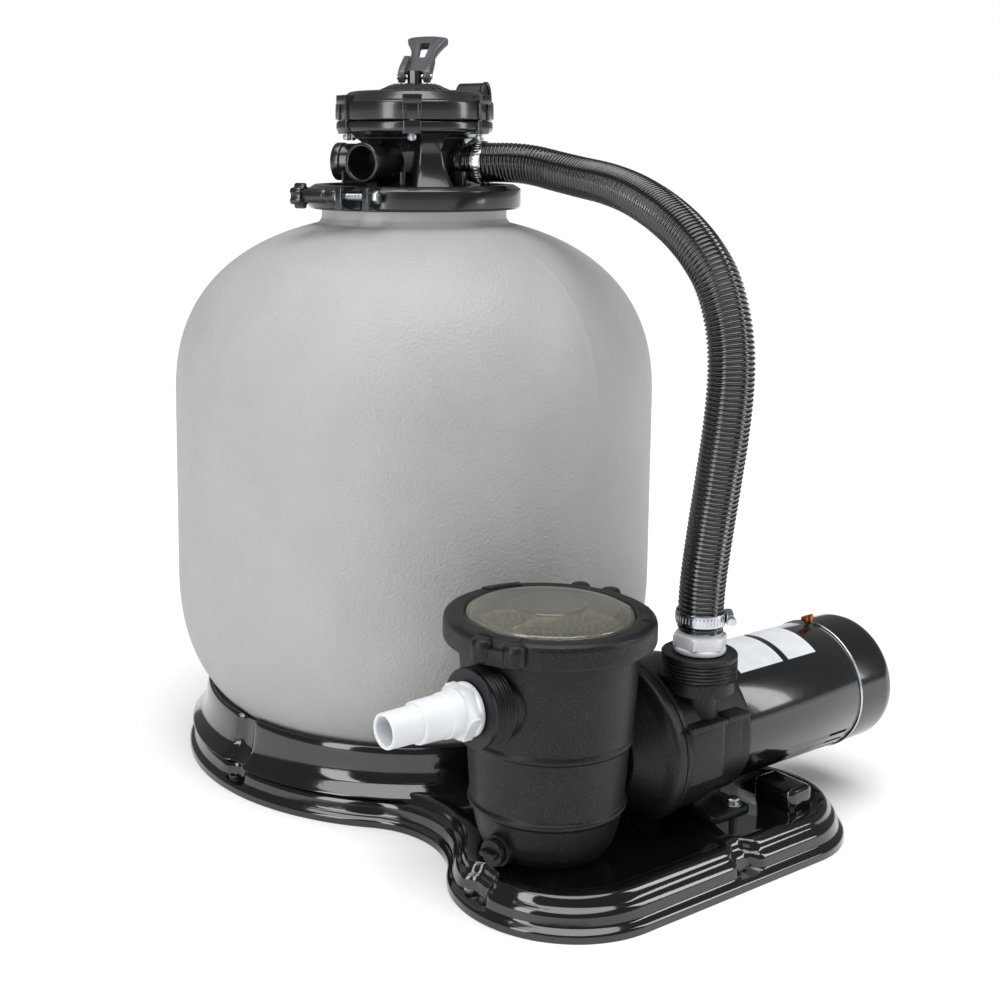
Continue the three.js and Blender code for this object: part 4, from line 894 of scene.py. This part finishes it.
@dataclass
class StrainerPot:
    """The strainer pot with its inlet, clear lid, lock ring, basket and drain plug."""

    inlet: tuple = (-202.0, -401.0, 206.0)

    def threaded_collar(self, length: float = 26) -> Form:
        """A threaded collar about Z, 76 mm across, with a plain lip at its mouth and a 38.6 mm bore."""
        outer = [[35.5, 0], [37, 0.5], *[[38, z] for z in even(1, length - 5, 0.4)], [37.8, length - 4.4],
            [37.8, length - 1], [37, length]]
        return lathe([*outer, [23, length], [19.5, length - 2], [19.5, -12], [35.5, -12], [35.5, 0]], 96,
            threaded(1, length - 4.6, 3.4, 1.5))

    def pot(self) -> Form:
        """The pot's ribbed wall, inlet branch, drain boss and dished flange towards the pump."""
        wall = filleted([[0, 37.3], [50, 37.3], [60, 40], [66, 50], [70, 62], [74.6, 84], [78.4, 86],
            [78.4, 90], [76, 92.5], [80, 151], [84.4, 153.5], [84.4, 157], [82.8, 160], [86.5, 215],
            [89.5, 262],
                         [85, 262], [83, 256], [78, 180], [70, 90], [62, 50], [54, 43.5], [0, 43.5]], 3, 5)
        forms = [lathe(wall, 160).at(POT_X, PUMP_Y, 0)]
        x, y, z = self.inlet
        place = toward((x, y, z), (-1, 0, 0), (0, 0, 1))
        branch = filleted([[19.5, -50], [27, -50], [27.5, -8], [36, -5], [36, 0], [19.5, 0], [19.5, -50]],
            2.5, 4)
        forms += [self.threaded_collar().placed(place), lathe(branch, 96).placed(place)]
        boss = filleted([[6.6, 60], [18, 60], [15.4, 66], [15.4, 76], [6.6, 76], [6.6, 60]], 1, 3)
        forms.append(lathe(boss, 64).placed(radial(190, 56, 0, POT_X, PUMP_Y)))
        flange = filleted([[24, -50], [50, -50], [60, -39], [72, -27], [81, -23], [84, -20], [84, -8.4],
            [60.5, -8.4], [60.5, -13.5], [24, -13.5], [24, -50]], 1.6, 4)
        forms.append(along_shaft(lathe(flange, 144)))
        return joined(forms)

    def ring(self) -> Form:
        """The lock ring: rounded top, deep skirt, two pairs of lugs and three low pads on its top."""
        section = filleted([[94.2, 250.5], [103, 250.5], [104, 254], [104, 269], [102.5, 273.5], [98, 276],
            [87, 276], [83.2, 274.6], [83, 271.7], [94.2, 271.7], [94.2, 250.5]], 1.4, 5)
        forms = [lathe(section, 180)]
        for azimuth in (202, 22):
            lug = lathe(filleted([[0, 253], [8, 253], [11, 256], [11.3, 270], [9, 275.5], [0, 276.5]], 2.5,
                6), 48)
            forms += [lug.at(104, y, 0).placed(spun(azimuth)) for y in (-17, 17)]
            forms.append(block(98, 110, -15, 15, 252, 268, 3, 2).placed(spun(azimuth)))
        for azimuth in (200, 320, 80):
            a = np.radians(np.concatenate([np.linspace(-13, 13, 20),
                np.linspace(13, -13, 20)])) + math.radians(azimuth)
            r = np.concatenate([np.full(20, 99.0), np.full(20, 89.0)])
            forms.append(slab(np.column_stack([r * np.cos(a), r * np.sin(a)]), 272, 277.2, 0.8))
        return joined(forms).at(POT_X, PUMP_Y, 0)

    def lid(self) -> Form:
        """The clear lid: a shallow dome with a raised centre disc, of even wall, down to its seat."""
        top = filleted([[0, 284.4], [34, 284], [36, 282.6], [60, 281.2], [76, 278.8], [81.5, 276.5],
            [82.2, 272], [82.2, 271.4], [92.6, 271.2], [92.6, 265.5], [78, 265.5], [76, 271], [60, 275.6],
            [36, 278.6], [0, 279]], 1.4, 5)
        return lathe(top, 144).at(POT_X, PUMP_Y, 0)

    def basket(self) -> Form:
        """The basket: rim, foot and two hoops, forty-eight upright bars, a floor and an arched handle."""
        def hoop(r: float, z: float, w: float, h: float) -> Form:
            """One flat hoop."""
            return lathe([[r - w, z], [r, z], [r, z + h], [r - w, z + h], [r - w, z]], 96)
        forms = [hoop(78, 248, 8, 4), hoop(60, 52, 4, 5), hoop(64, 118, 3, 5), hoop(68, 184, 3, 5)]
        forms.append(lathe([[0, 52], [58, 52], [58, 55], [0, 55]], 96))
        for k in range(48):
            low, top = np.array([[56.5, -1.4], [59.5, -1.4], [59.5, 1.4],
                [56.5, 1.4]]), np.array([[69, -1.4], [72, -1.4], [72, 1.4], [69, 1.4]])
            bar = stacked([np.column_stack([low, np.full(4, 54.0)]),
                np.column_stack([top, np.full(4, 249.0)])])
            forms.append(bar.placed(spun(7.5 * k)))
        t = np.linspace(0, math.pi, 48)
        arch = np.column_stack([73 * np.cos(t), 0 * t, 250 + 15.5 * np.sin(t) ** 0.8])
        forms.append(swept(arch, lambda s, a: 2.4 + 1.6 * np.abs(np.sin(a)), 20, (0, 1, 0)))
        forms.append(block(-17, 17, -8, 8, 260, 267, 4, 1.5))
        return joined(forms).placed(spun(10, POT_X, PUMP_Y, 0))

    def build(self, shop: Workshop) -> None:
        """Makes every piece of the strainer."""
        shop.piece("strainer_pot", self.pot(), PUMP_MOULDING, "pump_moulding", ROOT, ["strainer_housing"])
        shop.piece("pot_lock_ring", self.ring(), PUMP_MOULDING, "pump_moulding", "ring", ["lock_ring"])
        shop.piece("pot_lid", self.lid(), SMOKED_LID, "lid_smoked", "lid", ["clear_lid"])
        shop.piece("pot_basket", self.basket(), BASKET_RESIN, "basket_cream", "basket", ["strainer_basket"])
        plug = joined([lathe(filleted([[0, 78.7], [13, 78.7], [13, 83.5], [0, 83.6]], 1, 4), 64),
            block(-3, 3, -9.5, 9.5, 82, 90, 2, 1.2), lathe([[0, 62], [5.8, 62], [5.8, 80], [0, 80]], 32)])
        shop.piece("pot_drain_plug", plug.placed(radial(190, 56, 0, POT_X, PUMP_Y)), PUMP_MOULDING,
            "pump_moulding", "plug", ["drain_plug"])
        shop.dress(SEAL_RUBBER, "lid_seal", "drain_plug_seal")
        x, y, z = self.inlet
        shop.piece("inlet_tail", fitting(((22, 20, 33), (20.5, 33, 63),
            (17.2, 63, 97))).placed(toward((x - 26.3, y, z), (-1, 0, 0), (0, 0, 1))), WHITE_PIPE,
            "white_pipe", ROOT, ["inlet_adapter"])


def fitting(steps: Sequence) -> Form:
    """A hose tail about Z: thread into the collar, flange, hexagon, and stepped barrel with a bore.

    Args:
        steps: radius, start and end of each step of the barrel.

    Returns:
        The tail, with its mouth at the high end.
    """
    barrel = [point for r, z0, z1 in steps for point in ([r, z0], [r - 0.6, z1 - 1], [r - 1.4, z1])]
    last = steps[-1][2]
    outer = [[13, -20], [18.9, -20], [18.9, 0.4], [25.6, 0.5], [26, 2], [26, 5], [24, 6], [22.6, 18],
        *barrel, [14.2, last], [13, last - 1.5], [13, -20]]
    shell = filleted(outer, 0.7, 3)
    return joined([lathe(shell, 96), hollow_hexagon(48, 5.5, 18)])


def hollow_hexagon(across: float, z0: float, z1: float) -> Form:
    """A hexagonal collar about Z: r = (flats / 2) / cos(angle to the nearest flat), its edges chamfered."""
    def flats(r: Array, z: Array, a: Array) -> Array:
        """Radii of a hexagon on the outer rows only."""
        local = (a + TURN / 12) % (TURN / 6) - TURN / 12
        return np.where(r > 20, np.minimum(r, across / 2 / np.cos(local)), r)
    r = across / math.sqrt(3)
    return lathe([[15, z0], [r - 2, z0], [r, z0 + 1.2], [r, z1 - 1.2], [r - 2, z1], [15, z1], [15, z0]], 144,
        flats)


@dataclass
class PumpEnd:
    """The pump's casing, outlet union, bracket and foot."""

    outlet: tuple = (34.0, -442.0, 222.0)

    def casing(self) -> Form:
        """The casing: round drum with its seam flange, square shoulder, outlet neck and threaded collar."""
        drum = filleted([[60, -7.7], [84, -7.7], [84, -1.6], [80.4, -0.6], [80, 47.6], [30, 47.6], [30, 40],
            [60, 36], [60, -7.7]], 1.4, 4)
        x, y, z = self.outlet
        forms = [along_shaft(lathe(drum, 144))]
        forms.append(block(-6.6, 47.6, PUMP_Y - 83, PUMP_Y - 30, 96, 156.6, 7, 2.5))
        forms.append(block(-6.6, 47.6, PUMP_Y - 85.5, PUMP_Y - 30, 151, 157, 3, 1.6))
        neck = filleted([[0, 130], [25, 130], [22, 152], [18.6, 168], [18.6, 188], [24, 193], [35, 196.5],
            [0, 196.5]], 5, 5)
        forms.append(lathe(neck, 96).at(x, y, 0))
        collar = StrainerPot().threaded_collar(26).at(x, y, z - 26)
        forms.append(collar)
        return joined(forms)

    def bracket(self) -> Form:
        """The bracket: drum, ledge, side cheeks and the foot with its two bolt ears."""
        drum = filleted([[18, 48.3], [74, 48.3], [75, 56], [75, 92], [73.5, 96], [70.4, 96], [70.4, 62.4],
            [18, 62.4], [18, 48.3]], 1.4, 4)
        forms = [along_shaft(lathe(drum, 144))]
        forms.append(block(48.3, 76, PUMP_Y - 78, PUMP_Y - 73, 108, 156.6, 1.6, 1.4))
        forms.append(block(48.3, 80, PUMP_Y - 84, PUMP_Y - 58, 151, 157, 2, 1.6))
        forms.append(block(48.3, 88, PUMP_Y - 42, PUMP_Y + 42, 37.4, 60, 4, 1.6))
        forms.append(block(48.3, 104, PUMP_Y - 70, PUMP_Y + 70, 37.4, 46, 9, 1.6))
        for y in (-34, 0, 34):
            forms.append(block(50, 86, PUMP_Y + y - 3, PUMP_Y + y + 3, 40, 70, 1.2, 1))
        return joined(forms)

    def build(self, shop: Workshop) -> None:
        """Makes the casing, bracket, bolts and outlet fitting."""
        shop.piece("pump_casing", self.casing(), PUMP_MOULDING, "pump_moulding", ROOT, ["volute_housing"])
        shop.piece("pump_bracket", self.bracket(), PUMP_MOULDING, "pump_moulding", ROOT, ["motor_bracket"])
        x, y, z = self.outlet
        shop.piece("outlet_tail", fitting(((21, 19, 22.5), (19, 22.5, 60))).at(x, y, z + 0.3), WHITE_PIPE,
            "white_pipe", ROOT, ["outlet_adapter"])
        for k, dy in enumerate((-58, 58), 1):
            bolt = joined([lathe(filleted([[0, 46.3], [9, 46.3], [9, 48], [0, 48.3]], 0.5, 3), 40),
                slab(hexagon(12), 47.8, 54.3, 0.8), lathe([[0, 28], [4, 28], [4, 47], [0, 47]], 24)])
            shop.piece(f"foot_screw_{k}", bolt.at(88, PUMP_Y + dy, 0), ZINC_FIXING, "zinc_steel", ROOT,
                [f"foot_bolt_{k}"])
        shop.dress(BASKET_RESIN, "impeller")
        shop.dress(SEAL_RUBBER, "shaft_seal")


@dataclass
class MotorCan:
    """The motor: enamelled tube, bright band, rounded cap, blank plates and the copper lug."""

    radius: float = 70.0
    end: float = 275.0
    cap: float = 340.0

    def plate(self, x0: float, x1: float, a0: float, a1: float) -> Form:
        """A thin curved plate on the tube, from x0 to x1 and between two angles from the top towards -Y."""
        x, a = np.meshgrid(np.linspace(x0, x1, 12), np.radians(np.linspace(a0, a1, 24)), indexing="ij")
        layer = lambda r: np.stack([x, PUMP_Y - r * np.sin(a), SHAFT_Z + r * np.cos(a)], -1).reshape(-1, 3)
        i, j = np.meshgrid(np.arange(11), np.arange(23), indexing="ij")
        sheet = np.stack([i * 24 + j, (i + 1) * 24 + j, (i + 1) * 24 + j + 1, i * 24 + j + 1],
            -1).reshape(-1, 4)
        n = 12 * 24
        edge = np.concatenate([np.arange(0, 23), np.arange(23, n - 1, 24), np.arange(n - 1, n - 24, -1),
            np.arange(n - 24, 0, -24)])
        after = np.roll(edge, -1)
        rim = np.stack([edge, after, after + n, edge + n], -1)
        return Form(np.vstack([layer(70.3), layer(70.9)]), np.vstack([sheet, sheet[:, ::-1] + n,
            rim]).tolist())

    def build(self, shop: Workshop) -> None:
        """Makes every visible piece of the motor and finishes the hidden ones."""
        tube = filleted([[67, 63], [70, 63], [70, self.end], [67, self.end], [67, 63]], 0.6, 3)
        shell = shop.piece("motor_tube", along_shaft(lathe(tube, 160)), MOTOR_ENAMEL, "motor_paint", ROOT,
            ["motor_shell"])
        slots = []
        for k in range(5):
            louvre = block(self.end - 40, self.end - 12, -2, 2, 60, 80, 1.6, 0.4)
            turn = np.array(Matrix.Translation((0, PUMP_Y,
                SHAFT_Z)) @ Matrix.Rotation(math.radians(118 + 10 * k), 4, "X"))
            slots.append(louvre.placed(turn))
        shop.carve(shell, slots)
        cap = filleted([[67, 278.2], [70, 278.2], [70, 322], [68, 330], [63, 336.5], [54, 340], [40, 340],
            [36, 338], [0, 338], [0, 335], [14, 334], [52, 334], [62, 330], [67, 318], [67, 278.2]], 3, 6)
        shop.piece("motor_cap", along_shaft(lathe(cap, 160)), MOTOR_ENAMEL, "motor_paint", ROOT,
            ["motor_end_cap"])
        band = filleted([[67.2, 275.3], [70.6, 275.3], [71.4, 276], [71.4, 277.3], [70.6, 277.9],
            [67.2, 277.9], [67.2, 275.3]], 0.4, 3)
        shop.piece("motor_strip", along_shaft(lathe(band, 160)), STEEL_STRIP, "zinc_steel", ROOT,
            ["motor_band"])
        shop.piece("plate_front", self.plate(112, 178, -18, 36), BLANK_FOIL, "blank_label", ROOT,
            ["label_plate_front"])
        shop.piece("plate_rear", self.plate(187, 231, -18, 36), BLANK_FOIL, "blank_label", ROOT,
            ["label_plate_rear"])
        lug = joined([block(-7, 7, -4, 4, 75, 79.5, 1.5, 0.8),
            lathe(filleted([[0, 70.4], [3.4, 70.4], [3.4, 80], [0, 80.4]], 0.6, 3), 24),
            block(-2.4, 2.4, -6.5, -3, 72, 83, 0.8, 0.5)])
        shop.piece("earth_lug", lug.at(self.end - 8, PUMP_Y, SHAFT_Z), COPPER_LUG, "lug_copper", ROOT,
            ["ground_lug"])
        shop.dress(MOTOR_IRON, "motor_stator", "rotor_shaft")


@dataclass
class InnerWorks:
    """The pipes inside the tank, which stay as the CAD made them."""

    nodes: tuple = ("standpipe", "lateral_hub", "top_diffuser", *(f"lateral_{k}" for k in range(1, 7)))

    def build(self, shop: Workshop) -> None:
        """Finishes the inner pipes."""
        shop.dress(WHITE_PIPE, *self.nodes)


# ------------------------------------------------------------------ studio

@dataclass
class Studio:
    """Pale floor just under the base, soft lights and the camera."""

    eye: tuple = (-1.06937, -1.45983, 0.72681)
    heading: float = 54.67
    pitch: float = 8.0
    roll: float = 0.12
    lens: float = 54.63
    shift: tuple = (0.110, -0.1443)
    floor_reach: float = 80.0
    floor_drop: float = 0.0005
    sky_light: float = 0.2
    sun_energy: float = 3.3
    sun_spread: float = 60.0

    def lamp(self, name: str, place: tuple, aim: tuple, size: tuple, power: float) -> None:
        """One soft box aimed at a point."""
        data = bpy.data.lights.new(name, "AREA")
        data.shape, data.size, data.size_y, data.energy = "RECTANGLE", size[0], size[1], power
        lamp = bpy.data.objects.new(name, data)
        lamp.location = place
        lamp.rotation_euler = (Vector(aim) - Vector(place)).to_track_quat("-Z", "Y").to_euler()
        bpy.context.scene.collection.objects.link(lamp)

    def build(self) -> None:
        """Sets the floor, world, lights and camera."""
        scene = bpy.context.scene
        scene.view_settings.view_transform = "Standard"
        world = bpy.data.worlds.new("studio")
        scene.world = world
        world.use_nodes = True
        tree = world.node_tree
        tree.nodes.clear()
        ray = add_node(tree, "ShaderNodeLightPath")
        seen = add_node(tree, "ShaderNodeBackground", None, {"Color": (1, 1, 1, 1), "Strength": 1.0})
        light = add_node(tree, "ShaderNodeBackground", None, {"Color": (0.96, 0.98, 1.0, 1),
            "Strength": self.sky_light})
        both = add_node(tree, "ShaderNodeMixShader", {"Fac": ray.outputs["Is Camera Ray"]})
        tree.links.new(light.outputs[0], both.inputs[1])
        tree.links.new(seen.outputs[0], both.inputs[2])
        add_node(tree, "ShaderNodeOutputWorld", {"Surface": both.outputs[0]})
        mesh = bpy.data.meshes.new("floor")
        far, low = self.floor_reach, -self.floor_drop
        corners = [(-far, -far, low), (far, -far, low), (far, far, low), (-far, far, low)]
        mesh.from_pydata(corners, [], [(0, 1, 2, 3)])
        floor = bpy.data.objects.new("floor", mesh)
        scene.collection.objects.link(floor)
        mesh.materials.append(Finish("paper_sweep_white", "#f4f4f4", "#f2f2f2", 0.8, 0.02, 3.0, 0.01,
            300.0).build())
        self.lamp("key_left", (-2.4, -0.7, 1.2), (0, -0.1, 0.4), (0.7, 2.2), 30)
        self.lamp("fill_right", (1.7, -2.2, 1.4), (0, -0.2, 0.4), (0.5, 2.0), 22)
        sun = bpy.data.lights.new("overhead", "SUN")
        sun.energy, sun.angle = self.sun_energy, math.radians(self.sun_spread)
        overhead = bpy.data.objects.new("overhead", sun)
        overhead.rotation_euler = (math.radians(8), math.radians(-6), 0)
        scene.collection.objects.link(overhead)
        data = bpy.data.cameras.new("eye")
        data.lens, data.sensor_width = self.lens, 36.0
        data.shift_x, data.shift_y = self.shift
        data.clip_end = 50
        camera = bpy.data.objects.new("eye", data)
        h, p, r = map(math.radians, (self.heading, self.pitch, self.roll))
        look = np.array([math.cos(h) * math.cos(p), math.sin(h) * math.cos(p), -math.sin(p)])
        right = np.array([math.sin(h), -math.cos(h), 0.0])
        up = np.cross(right, look)
        x, y = math.cos(r) * right + math.sin(r) * up, -math.sin(r) * right + math.cos(r) * up
        matrix = Matrix.Identity(4)
        matrix.col[0][:3], matrix.col[1][:3], matrix.col[2][:3], matrix.col[3][:3] = x, y, -look, self.eye
        camera.matrix_world = matrix
        scene.collection.objects.link(camera)
        scene.camera = camera


def main() -> None:
    """Builds the studio and each sub-assembly in turn."""
    logging.basicConfig(level=logging.INFO, format="%(message)s")
    Studio().build()
    shop = Workshop()
    for part in (TransferHose(), BaseMould(), TankShell(), NeckClamp(), SelectorValve(), StrainerPot(),
            PumpEnd(), MotorCan(), InnerWorks()):
        part.build(shop)
        LOG.info("built %s", type(part).__name__)


if __name__ == "__main__":
    main()
